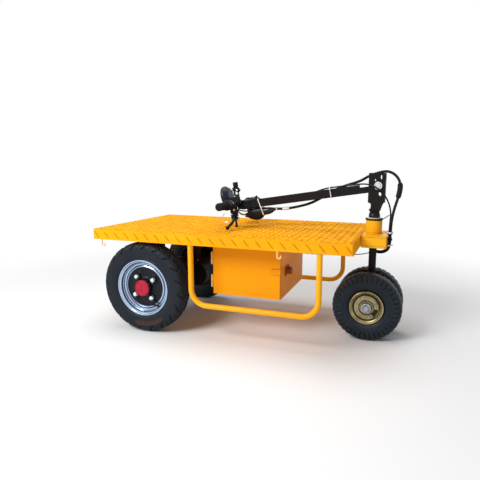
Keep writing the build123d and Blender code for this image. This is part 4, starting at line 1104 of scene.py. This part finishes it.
wrap_tops = [
    (-678, 15), (-672, 18.6), (-660, 20), (-645, 18), (-636, 17.6), (-628, 21), (-618, 24), (-609, 21),
    (-600, 24), (-590, 23), (-586, 16),
]
wrap_rows = []
for index in range(33):
    x = -678 + 92 * index / 32
    edge = 1 - smoothstep(0, 5, min(x + 678, -586 - x))
    high = float(np.interp(x, *zip(*wrap_tops)))
    wrap_rows.append((x, 22.6 - 1.6 * edge, -29 + 1.5 * edge, high, 0.012))
rounded_form(wrap_rows, arm_place, 56, 9).piece(
    "arm_tape", tape, "tow_arm", "rubber", sharp=0, subdivide=1)
flaps = Form()
flap_place = arm_place @ outward(1)
flaps.prism(
    [(-609, -17), (-613, -25), (-618, -28.6), (-622, -25), (-628, -17)], -20, -12, flap_place, bevel=0.8,
)
flaps.prism(
    [(-586.5, -14), (-587, -24), (-590, -33.5), (-596, -30), (-601, -28), (-606, -17)], -16, -9,
    flap_place, bevel=0.8,
)
flaps.piece("tape_flaps", tape, "tow_arm", "rubber", sharp=30)


def cable_tie(form, origin, lean, half_y, low, high, corner, width=4.8, head=True):
    """Closed nylon loop round the arm: lean is its tilt from upright, in degrees."""
    place = shift(*origin) @ turned(math.radians(lean), "Y")
    form.band(rounded_loop(half_y, low, high, corner), (1, 0, 0), width, 1.2, place)
    if head:
        form.slab((-width * 0.7, width * 0.7), (-half_y - 5, -half_y + 0.2), (high - 16, high - 9), place)
        form.slab(
            (-width / 2, width / 2), (-half_y - 13, -half_y - 4), (high - 13.6, high - 12.4), place, 0.2,
        )


ties = Form()
cable_tie(ties, (21.5, 0, 601.5), -22.6, 23.8, -45.2, 41.6, 8, head=False)
cable_tie(ties, (367.7, 7, 679.5), -11.4, 30, -25.4, 27, 7, width=3.6)
ties.piece("arm_ties", white_nylon, "tow_arm", "rubber", sharp=40)

# Handlebar: throttle housing and its clamping ring

housing = Form()
housing.lathe([
    (18, 0), (22.4, 0), (23.8, 1.4), (24.2, 5), (24.2, 19), (23.4, 19.8), (23.4, 21), (24.2, 21.8),
    (24, 36), (23, 42), (21, 44), (18, 44),
], throttle_place, 56, closed=True)
housing.slab((-11, 11), (-6, 6), (4, 38), bar_place @ outward(-1) @ shift(0, 22, throttle_start), 2)
housing.piece("throttle_housing", black_plastic, "tow_arm", "black_plastic")
collar_ring = Form()
collar_ring.lathe(
    [(12, -3.6), (22.6, -3.6), (23.2, -2.8), (23.2, -0.8), (22.6, 0), (12, 0)], throttle_place, 56,
    closed=True,
)
collar_ring.piece("throttle_clamp_ring", zinc, "tow_arm", "zinc")

# Grips: ribs between two flanges

grip_start, grip_length, ribs = 128, 122, 23
rib = (grip_length - 20) / ribs
grip_profile = [(11.4, 0), (21, 0.4), (22, 1.6), (22, 4), (20.4, 5.6), (17.4, 6.4)]
for index in range(ribs):
    low = 8 + index * rib
    grip_profile += [
        (17.1, low), (18.5, low + 0.26 * rib), (18.5, low + 0.6 * rib), (17.1, low + 0.86 * rib),
    ]
grip_profile += [
    (17.4, grip_length - 10), (18.7, grip_length - 9), (18.7, grip_length - 3), (17.6, grip_length - 1),
    (14, grip_length), (4.6, grip_length), (3.8, grip_length - 1.6), (0.3, grip_length - 1.6),
]
for side_name, side in sides:
    grip = Form()
    grip.lathe(grip_profile, bar_place @ outward(side) @ shift(0, 0, grip_start), 44)
    grip.piece(f"grip_{side_name}_ribbed", rubber, "tow_arm", "rubber", sharp=30, replaces=("grips",))

# Display: case, domed glass and a button

pod = Form()
pod.lathe([
    (0.3, -22.5), (30, -22.5), (39, -21.6), (42.4, -19), (47, -12), (51.4, -7), (54.2, -3.4), (55, 0),
    (55, 7), (54.4, 10), (52.6, 12.4), (50.2, 13.2), (48.6, 12.6), (48, 11), (47.8, 9), (0.3, 9),
], pod_place, 96)
for index in range(4):
    spin = pod_place @ turned(TURN * (index + 0.5) / 4, "Z") @ shift(33, 0, -22.4)
    bolt_head(pod, spin @ turned(math.pi, "X"), 4, 2.4)
pod.slab((-58, -46), (-13, 13), (-6, 6), pod_place, 2)
pod.piece("display_case", pod_shell, "tow_arm", "black_plastic", sharp=32, replaces=("display_pod",))
glass = Form()
glass.lathe([
    (47.9, 8.6), (47.9, 11.4), (46, 13.2), (41, 15.4), (34, 17.6), (26, 19.4), (17, 20.8), (8, 21.6),
    (0.3, 21.8),
], pod_place, 96)
glass.piece("display_glass", pod_glass, "tow_arm", "black_plastic", sharp=0)
button = Form()
button.lathe([(5.4, 19.2), (5.4, 21.6), (4.6, 22.4), (0.3, 22.4)], pod_place @ shift(-14, -16, -2), 24)
button.piece("display_button", rubber, "tow_arm", "rubber", sharp=40)

# Key switch on its bracket

switch = Form()
switch.lathe(
    [(11.1, -55), (15, -55), (15.5, -54.4), (15.5, -31.6), (15, -31), (11.1, -31)],
    bar_place @ outward(1), 40, closed=True,
)
switch.slab((-5, 26), (-54, -33), (62, 83.5), bar_place, 4)
switch.slab((-2, 5), (-49, -37), (44, 64), bar_place, 1.5)
switch.slab((19.4, 23.4), (-49, -37), (44, 64), bar_place, 1)
stem = [(-2, 46), (-2, 43), (6, 36), (9, 10), (4, -6), (14, -8), (24, 10), (23.4, 46)]
switch.prism([(x, -z) for x, z in stem], -49, -37, bar_place @ outward(1), bevel=1)
barrel_place = bar_place @ shift(12.6, -43, 83)
switch.lathe([
    (0.3, 0), (9.6, 0), (12, 1.4), (13, 4), (13, 8.4), (12.2, 9), (12.2, 10), (13, 10.6), (13, 19.6),
    (12.2, 22.6), (10.4, 24), (8.4, 24), (7.8, 22.6), (0.3, 22.6),
], barrel_place, 44)
knob_place = bar_place @ shift(21, -43, 66) @ outward(-1)
switch.lathe([
    (0.3, -12), (8.4, -12), (9.8, -10.6), (10, -8), (10, 4), (9, 5), (9, 7), (10, 8), (9.6, 11), (8, 12),
    (0.3, 12),
], knob_place, 32)
switch.slab((-9, 0), (-3, 3), (-6, 6), knob_place)
switch.piece("key_switch_body", black_plastic, "tow_arm", "black_plastic", replaces=("key_switch",))
key = Form()
key.lathe([(7.7, 21), (7.7, 23), (6.8, 23.8), (0.3, 23.8)], barrel_place, 28)
key.slab((-1, 1), (-4.2, 4.2), (23.6, 24.4), barrel_place, 0.2)
key.lathe([(0.3, 11.6), (4, 11.8), (4, 13), (3.2, 13.6), (0.3, 13.6)], knob_place, 20)
key.piece("key_slot", chrome, "tow_arm", "zinc", sharp=40)

# Levers: screws, cable ends and the bent wire at the right-hand lever

fittings = Form()
for side in (-1, 1):
    for x, z, size in ((19, -26, 4.2), (4, -46, 3)):
        spot = bar_place @ shift(x, side * 122, z) @ outward(side)
        bolt_head(fittings, spot, size, 2.6, washer=size * 1.25)
    spot = bar_place @ shift(-15.6, side * 111, 0) @ turned(-math.pi / 2, "Y")
    bolt_head(fittings, spot, 4.4, 3)
for start, ahead in (
    ((-89, -99.8, 590.1), (0, 27.3, -3)), ((-91, 99.8, 579), (3, -37.5, 1)),
    ((-77, -108, 547), (1, 0, -0.35)), ((-77, -108, 561), (1, 0, -0.4)),
):
    ahead = Vector(ahead).normalized()
    ends = [(Vector(start) + ahead * step) * MM for step in (-2, 5, 5.2, 9, 9.2, 17, 20)]
    sizes = (5, 5, 6.4, 6.4, 4.6, 4.6, 3.8)
    fittings.tube(ends, lambda share: float(np.interp(share, [0, .32, .33, .5, .51, .86, 1], sizes)), 18)
fittings.piece("lever_fittings", zinc, "tow_arm", "zinc")

guard_wire = Form()
guard_wire.tube(smooth_route([
    (-94, -108, 577), (-108, -108, 577), (-124, -108, 575), (-141, -108, 567), (-149, -108, 550),
    (-141, -108, 532), (-124, -108, 526), (-108, -108, 534), (-100, -108, 546), (-91, -108, 552),
]), 2.1, 8)
guard_wire.piece("lever_guard_wire", zinc, "tow_arm", "zinc", sharp=0)

# Wire clip at the bag, and the bolts of the bar clamp

neck_ring = Form()
neck_ring.tube([arm_place @ mm(-664.6, 10.6 * math.cos(TURN * k / 24), -60 + 10.9 * math.sin(TURN * k / 24))
                for k in range(24)], 1.3, 8, closed=True)
neck_ring.piece("boot_neck_clip", zinc, "tow_arm", "zinc", sharp=0)

arm_bolts = Form()
for side in (-1, 1):
    spot = bar_place @ shift(10, side * 20, 4) @ outward(side)
    bolt_head(arm_bolts, spot, 5.4, 3.6, washer=7)
arm_bolts.piece("arm_clamp_bolts", zinc, "tow_arm", "zinc")

# Yoke: pivot bolt on broad washers, welds, collars and bearings

washer_seat = 31.5
bolt = Form()
bolt.lathe([(8, -washer_seat), (8, washer_seat)], pivot_place @ outward(1), 32)
for side in (-1, 1):
    face = pivot_place @ shift(0, side * washer_seat, 0) @ outward(side)
    bolt.lathe([(0.3, 0), (17.4, 0), (18, 0.6), (18, 2.2), (17.2, 3), (0.3, 3)], face, 48)
    bolt_head(bolt, face @ shift(0, 0, 3), 11.4, 4.6)
bolt.piece("pivot_bolt_and_washers", zinc, "steering", "zinc", replaces=("pivot_bolt",))


def ring_of(x, y, z, radius, steps=40):
    return [(
        x + radius * math.cos(TURN * k / steps), y + radius * math.sin(TURN * k / steps), z,
    ) for k in range(steps)]


head_x, head_ring_z, lower_bearing_z = 573.0, 561.0, 441
head_place, ring_place = shift(head_x, 0, 0), shift(head_x, 0, head_ring_z)
yoke_welds = Form()
yoke_welds.bead(ring_of(head_x, 0, 607.4, 22.8), 2, closed=True)
for side in (-1, 1):
    yoke_welds.bead([(546, side * 26, 656), (611, side * 26, 656)], 1.6)
    yoke_welds.bead([(556, side * 31, 608), (600, side * 31, 608)], 1.8)
yoke_welds.piece("yoke_welds", black_paint, "steering", "black_paint", sharp=0)
collars = Form()
collars.lathe(
    [(18, 570), (25, 570), (26, 571), (26, 585), (24.6, 587), (18, 587)], head_place, 56, closed=True,
)
collars.lathe(
    [(18, 597), (22, 597), (26.4, 601), (27, 604), (27, 608), (18, 608)], head_place, 56, closed=True,
)
collars.piece("neck_collars", black_gloss, "steering", "black_paint")

ring = Form()
ring.lathe(
    [(34.4, -3), (39.4, -2.4), (40.4, -1), (40.4, 3.4), (39.4, 5), (18, 5), (18, -3)], ring_place, 64,
    closed=True,
)
ring.lathe([(26.6, -14), (26.6, 0), (18, 0), (18, -14)], ring_place, 48, closed=True)
ring.lathe([(26.6, 0), (26.6, 14), (18, 14), (18, 0)], shift(head_x, 0, lower_bearing_z), 48, closed=True)
ring.piece("bearing_rings", black_plastic, "chassis", "zinc", replaces=("head_bearings",))
seal = Form()
seal.lathe([(18, 5), (33, 5), (33, 7.2), (31.8, 8), (26, 8), (18, 7.6)], ring_place, 64, closed=True)
seal.piece("bearing_seal", cream, "chassis", "zinc")

# Head box and tube: folded edges, weld beads and the painted skin

box_low, box_high = cad_corners("head_box")
head_trim = Form()
for side in (-1, 1):
    face = sorted((side * box_high.y, side * (box_high.y + 1.1)))
    for low, high in ((box_low.z, box_low.z + 8), (box_high.z - 7, box_high.z)):
        head_trim.slab((box_low.x + 3, box_high.x - 4), face, (low, high))
    head_trim.bead([
        (box_low.x + 0.6, side * box_high.y, box_low.z + 8),
        (box_low.x + 0.6, side * box_high.y, box_high.z),
    ])
    head_trim.bead([(box_low.x + 2, side * 92, box_high.z), (box_low.x + 2, side * 36, box_high.z)], 2)
    head_trim.slab(
        (head_x - 30, head_x + 30), sorted((side * 46, side * 52)), (box_high.z - 0.4, box_high.z + 1.2),
    )
head_trim.bead(ring_of(head_x, 0, box_high.z + 1, 38.6, 48), 2.8, closed=True)
head_trim.lathe(
    [(33, 497), (37.2, 497), (37.8, 499), (37.8, 554), (37, 557), (33, 557)], head_place, 72, closed=True,
)
guard_radius, guard_y, guard_weld_z = 12.5, 333.5, 453.4
guard_low, guard_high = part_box("side_guards")
for side in (-1, 1):
    for guard_x in (guard_low.x / MM + guard_radius, guard_high.x / MM - guard_radius):
        head_trim.bead(ring_of(guard_x, side * guard_y, guard_weld_z, 13, 28), 2, closed=True)
head_trim.piece("weld_beads_and_lips", yellow, "chassis", "yellow_paint", sharp=30)

# Chain on a stud at the head box

chain = Form()
for index in range(8):
    middle = Vector((640.6, -88, 487 - 5.2 * index))
    flat = Vector((0, 1, 0)) if index % 2 else Vector((1, 0, 0))
    link = [
        (middle + flat * 2.1 * math.cos(TURN * k / 16) + Vector((0, 0, 3.7)) * math.sin(TURN * k / 16)) * MM
        for k in range(16)
    ]
    chain.tube(link, 0.9, 8, closed=True)
bolt_head(chain, shift(638, -88, 490) @ turned(math.pi / 2, "Y"), 3, 3.6, washer=4.4)
chain.piece("head_chain", lock_shade_brown, "chassis", "zinc", sharp=40)

# Ties of the cable bundle, and the branch between steering and chassis

top_place = shift(648, -20, 504.6)
top_tie = Form()
top_tie.lathe([(12.6, -2.4), (14, -2.2), (14, 2.2), (12.6, 2.4)], top_place, 32, closed=True)
top_tie.slab((-4, 4), (-19, -13.6), (-3.4, 3.4), top_place)
top_tie.piece("bundle_tie_top", white_nylon, "chassis", "rubber", sharp=40)
low_place = shift(647, -13.6, 445.3) @ turned(math.radians(-12), "Y")
low_tie = Form()
low_tie.lathe([(8.4, -2.4), (9.9, -2.2), (9.9, 2.2), (8.4, 2.4)], low_place, 28, closed=True)
low_tie.slab((-13, 6), (-13.4, -8.8), (-3.2, 3.2), low_place)
low_tie.slab((4, 18), (-12.4, -10.6), (-2.2, 2.2), low_place)
low_tie.piece("bundle_tie_low", old_nylon, "chassis", "rubber", sharp=40)
branch = Form()
branch.tube(smooth_route([(607.5, -10, 562.5), (617, -15, 567), (629, -22, 575), (641, -28, 586)]), 2, 10)
branch_piece = branch.piece("cable_branch", cable_skin, None, "rubber", sharp=60)
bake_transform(branch_piece)

# Under the deck: motor bands and the case's covers and bolts

motor_low, motor_high = cad_corners("drive_motor")
motor_x, axle_z, axle_x = (motor_low.x + motor_high.x) / 2, 220.0, -469.0
drive = Form()
motor_place = shift(motor_x, 0, axle_z) @ outward(1)
for low, high in ((56, 64), (164, 178)):
    drive.lathe([(62, low), (63.6, low + 0.8), (63.6, high - 0.8), (62, high)], motor_place, 64, closed=True)
for index in range(6):
    spin = motor_place @ turned(TURN * (index + 0.5) / 6, "Z")
    bolt_head(drive, spin @ shift(55, 0, 178), 5, 4, washer=7)
for side in (-1, 1):
    case_place = shift(axle_x, side * 48, axle_z) @ outward(side)
    drive.lathe([(30, 0), (46, 0), (44, 3), (34, 9), (28, 10)], case_place, 48)
    for index in range(10):
        spin = case_place @ turned(TURN * index / 10, "Z")
        bolt_head(drive, spin @ shift(72, 0, 0), 5, 4, washer=7)
drive.piece("drive_covers_and_bolts", black_plastic, "chassis", "black_plastic")

# Axle's U-bolts, controller sockets and battery tops

saddle_y, saddle_half, u_half, u_top = 193, 11, 33, 262
u_turns = [math.pi * k / 16 for k in range(1, 16)]
saddles = Form()
for side in (-1, 1):
    for y in (side * saddle_y - saddle_half, side * saddle_y + saddle_half):
        path = [(axle_x - u_half, y, u_top), (axle_x - u_half, y, axle_z + 2)]
        path += [(axle_x - u_half * math.cos(a), y, axle_z - u_half * math.sin(a)) for a in u_turns]
        path += [(axle_x + u_half, y, axle_z + 2), (axle_x + u_half, y, u_top)]
        saddles.tube([mm(*point) for point in path], 4, 12)
        for x in (axle_x - u_half, axle_x + u_half):
            bolt_head(saddles, shift(x, y, u_top - 12), 7, 6, washer=8.4)
saddles.piece("axle_u_bolts", zinc, "chassis", "zinc")

sockets = Form()
control_low, control_high = cad_corners("motor_controller")
for index in range(3):
    spot = shift(
        (control_low.x + control_high.x) / 2 + 6, control_low.y + 30 + 44 * index, control_low.z,
    ) @ turned(math.pi, "X")
    sockets.lathe([(0.3, -0.4), (11, -0.4), (11, 3), (8.4, 4.4), (8.4, 12), (6.4, 14), (0.3, 14)], spot, 28)
sockets.piece("controller_sockets", rubber, "chassis", "rubber")

cell_start, cell_pitch, lid_half_x, lid_half_y, terminal_y = 36, 77, 31, 46, 62
terminals, lids = Form(), Form()
cell_low, cell_high = cad_corners("batteries")
for index in range(4):
    middle_x = cell_low.x + cell_start + cell_pitch * index
    lids.slab(
        (middle_x - lid_half_x, middle_x + lid_half_x), (-lid_half_y, lid_half_y),
        (cell_high.z - 0.2, cell_high.z + 5), bevel=1.5,
    )
    for y in (-terminal_y, terminal_y):
        spot = shift(middle_x, y, cell_high.z)
        terminals.lathe([(0.3, -0.2), (9, -0.2), (9, 2), (6, 3), (6, 10), (5, 11), (0.3, 11)], spot, 28)
terminals.piece("battery_terminals", zinc, "chassis", "zinc")
lids.piece("battery_lids", black_plastic, "chassis", "black_plastic", sharp=30)

# Door and lock: hinges, strap rivets and the lock's dial

hinge_x, hinge_y, hinge_half, knuckle = -155, -217, 28, 4.6
hinge_heights = (63, 174)
case_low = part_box("battery_box")[0] / MM
for hinge_name, body, first, last, node in (
    ("hinge_lower", "chassis", -1, -0.02, "hinge_pins"),
    ("hinge_upper", "battery_door", 0.02, 1, "door_hinges"),
):
    barrels, leaves = Form(), Form()
    for height in hinge_heights:
        spot = shift(hinge_x, hinge_y, case_low.z + height)
        low, high = hinge_half * first, hinge_half * last
        barrels.lathe([
            (0.3, low), (knuckle - 0.8, low), (knuckle, low + 0.8), (knuckle, high - 0.8),
            (knuckle - 0.8, high), (0.3, high),
        ], spot, 28)
        if first < 0:
            barrels.lathe([
                (2.6, -1), (2.6, hinge_half + 2.4), (3.8, hinge_half + 2.6), (3.4, hinge_half + 4.4),
                (0.3, hinge_half + 4.8),
            ], spot, 20)
            leaves.slab((-8, 8), (12, 15), (low, high), spot)
            leaves.slab((-3.4, -1), (0, 14), (low, high), spot)
        else:
            leaves.slab((0, 10), (-4.6, -2), (low, high), spot)
    barrels.piece(f"{hinge_name}_barrels", hinge_cream, body, "zinc", replaces=(node,))
    leaves.piece(f"{hinge_name}_leaves", box_orange, body, "zinc")


door_trim = Form()
strap_low, strap_high = cad_corners("door_strap")
for x in (strap_low.x + 9, strap_low.x + 26):
    spot = shift(x, strap_low.y, (strap_low.z + strap_high.z) / 2) @ outward(-1)
    door_trim.lathe([(4.6, -0.2), (4.4, 1), (3.2, 2), (0.3, 2.3)], spot, 24)
for z in (strap_low.z + 0.9, strap_high.z - 0.9):
    door_trim.slab(
        (strap_low.x + 1, strap_high.x - 1), (strap_low.y - 1, strap_low.y + 0.2), (z - 0.9, z + 0.9),
        bevel=0.3,
    )
door_trim.piece("strap_rivets", box_orange, "battery_door", "yellow_paint", sharp=30)
lock_low, lock_high = cad_corners("lock_body")
dial = Form()
lock_middle = (lock_low + lock_high) / 2
dial_place = shift(lock_high.x, lock_middle.y, lock_middle.z) @ turned(math.pi / 2, "Y")
dial.lathe([(14, -0.3), (14, 1), (13, 1.8), (8, 1.8), (7.4, 1), (0.3, 1)], dial_place, 32)
dial.slab((-1.4, 1.4), (-5, 5), (0.8, 1.7), dial_place, 0.2)
for y in (-22, 22):
    for x in (-17, 17):
        bolt_head(dial, dial_place @ shift(x, y, -23), 3, 2, washer=4.4)
dial.piece("lock_dial", lock_shade_brown, "chassis", "zinc")


# Floor, backdrop and light

floor_reach, floor_tone, fade_start, fade_end = 14.0, 0.88, 0.9, 2.6
soft_strength, soft_tone, aim_height = 0.2, (0.93, 0.96, 1.0, 1), 0.3
lamps = (
    ("key", (-1.7, -3.0, 2.7), 1.8, 150), ("top", (-0.3, 0.3, 3.4), 2.4, 60),
    ("back", (1.8, 3.0, 2.2), 2.0, 10),
)


def add_floor(scene):
    """Pale floor that fades to white away from the object."""
    corners = [(x * floor_reach, y * floor_reach, 0) for x, y in ((-1, -1), (1, -1), (1, 1), (-1, 1))]
    mesh = bpy.data.meshes.new("floor")
    mesh.from_pydata(corners, [], [(0, 1, 2, 3)])
    ground = bpy.data.objects.new("floor", mesh)
    scene.collection.objects.link(ground)
    material = bpy.data.materials.new("floor")
    material.use_nodes = True
    nodes, links = material.node_tree.nodes, material.node_tree.links
    shader = nodes["Principled BSDF"]
    shader.inputs["Base Color"].default_value = (floor_tone, floor_tone, floor_tone, 1)
    shader.inputs["Roughness"].default_value = 0.7
    glow = nodes.new("ShaderNodeEmission")
    glow.inputs["Strength"].default_value = 1.0
    where = nodes.new("ShaderNodeTexCoord")
    far = nodes.new("ShaderNodeVectorMath")
    far.operation = "LENGTH"
    links.new(where.outputs["Object"], far.inputs[0])
    fade = nodes.new("ShaderNodeMapRange")
    for socket, value in zip(fade.inputs[1:5], (fade_start, fade_end, 0.0, 1.0)):
        socket.default_value = value
    fade.interpolation_type = "SMOOTHSTEP"
    links.new(far.outputs["Value"], fade.inputs["Value"])
    mix = nodes.new("ShaderNodeMixShader")
    links.new(fade.outputs["Result"], mix.inputs[0])
    links.new(shader.outputs["BSDF"], mix.inputs[1])
    links.new(glow.outputs["Emission"], mix.inputs[2])
    links.new(mix.outputs["Shader"], nodes["Material Output"].inputs["Surface"])
    mesh.materials.append(material)


def add_world(scene):
    """Soft light, with white for what the camera, gloss and glass see."""
    world = bpy.data.worlds.new("studio")
    scene.world = world
    world.use_nodes = True
    nodes, links = world.node_tree.nodes, world.node_tree.links
    path = nodes.new("ShaderNodeLightPath")
    soft = nodes["Background"]
    soft.inputs["Color"].default_value = soft_tone
    soft.inputs["Strength"].default_value = soft_strength
    white = nodes.new("ShaderNodeBackground")
    white.inputs["Color"].default_value = (1, 1, 1, 1)
    white.inputs["Strength"].default_value = 1.0
    seen = path.outputs["Is Camera Ray"]
    for ray in ("Is Transmission Ray", "Is Glossy Ray"):
        either = nodes.new("ShaderNodeMath")
        either.operation = "MAXIMUM"
        links.new(seen, either.inputs[0])
        links.new(path.outputs[ray], either.inputs[1])
        seen = either.outputs["Value"]
    mix = nodes.new("ShaderNodeMixShader")
    links.new(seen, mix.inputs[0])
    links.new(soft.outputs["Background"], mix.inputs[1])
    links.new(white.outputs["Background"], mix.inputs[2])
    links.new(mix.outputs["Shader"], nodes["World Output"].inputs["Surface"])


def add_lamps(scene):
    for name, place, size, power in lamps:
        lamp = bpy.data.lights.new(name, "AREA")
        lamp.size = size
        lamp.energy = power
        thing = bpy.data.objects.new(name, lamp)
        thing.location = place
        aim = Vector((0, 0, aim_height)) - Vector(place)
        thing.rotation_euler = aim.to_track_quat("-Z", "Y").to_euler()
        scene.collection.objects.link(thing)


bpy.context.scene.view_settings.view_transform = "Standard"
for add_part in (add_floor, add_world, add_lamps):
    add_part(bpy.context.scene)
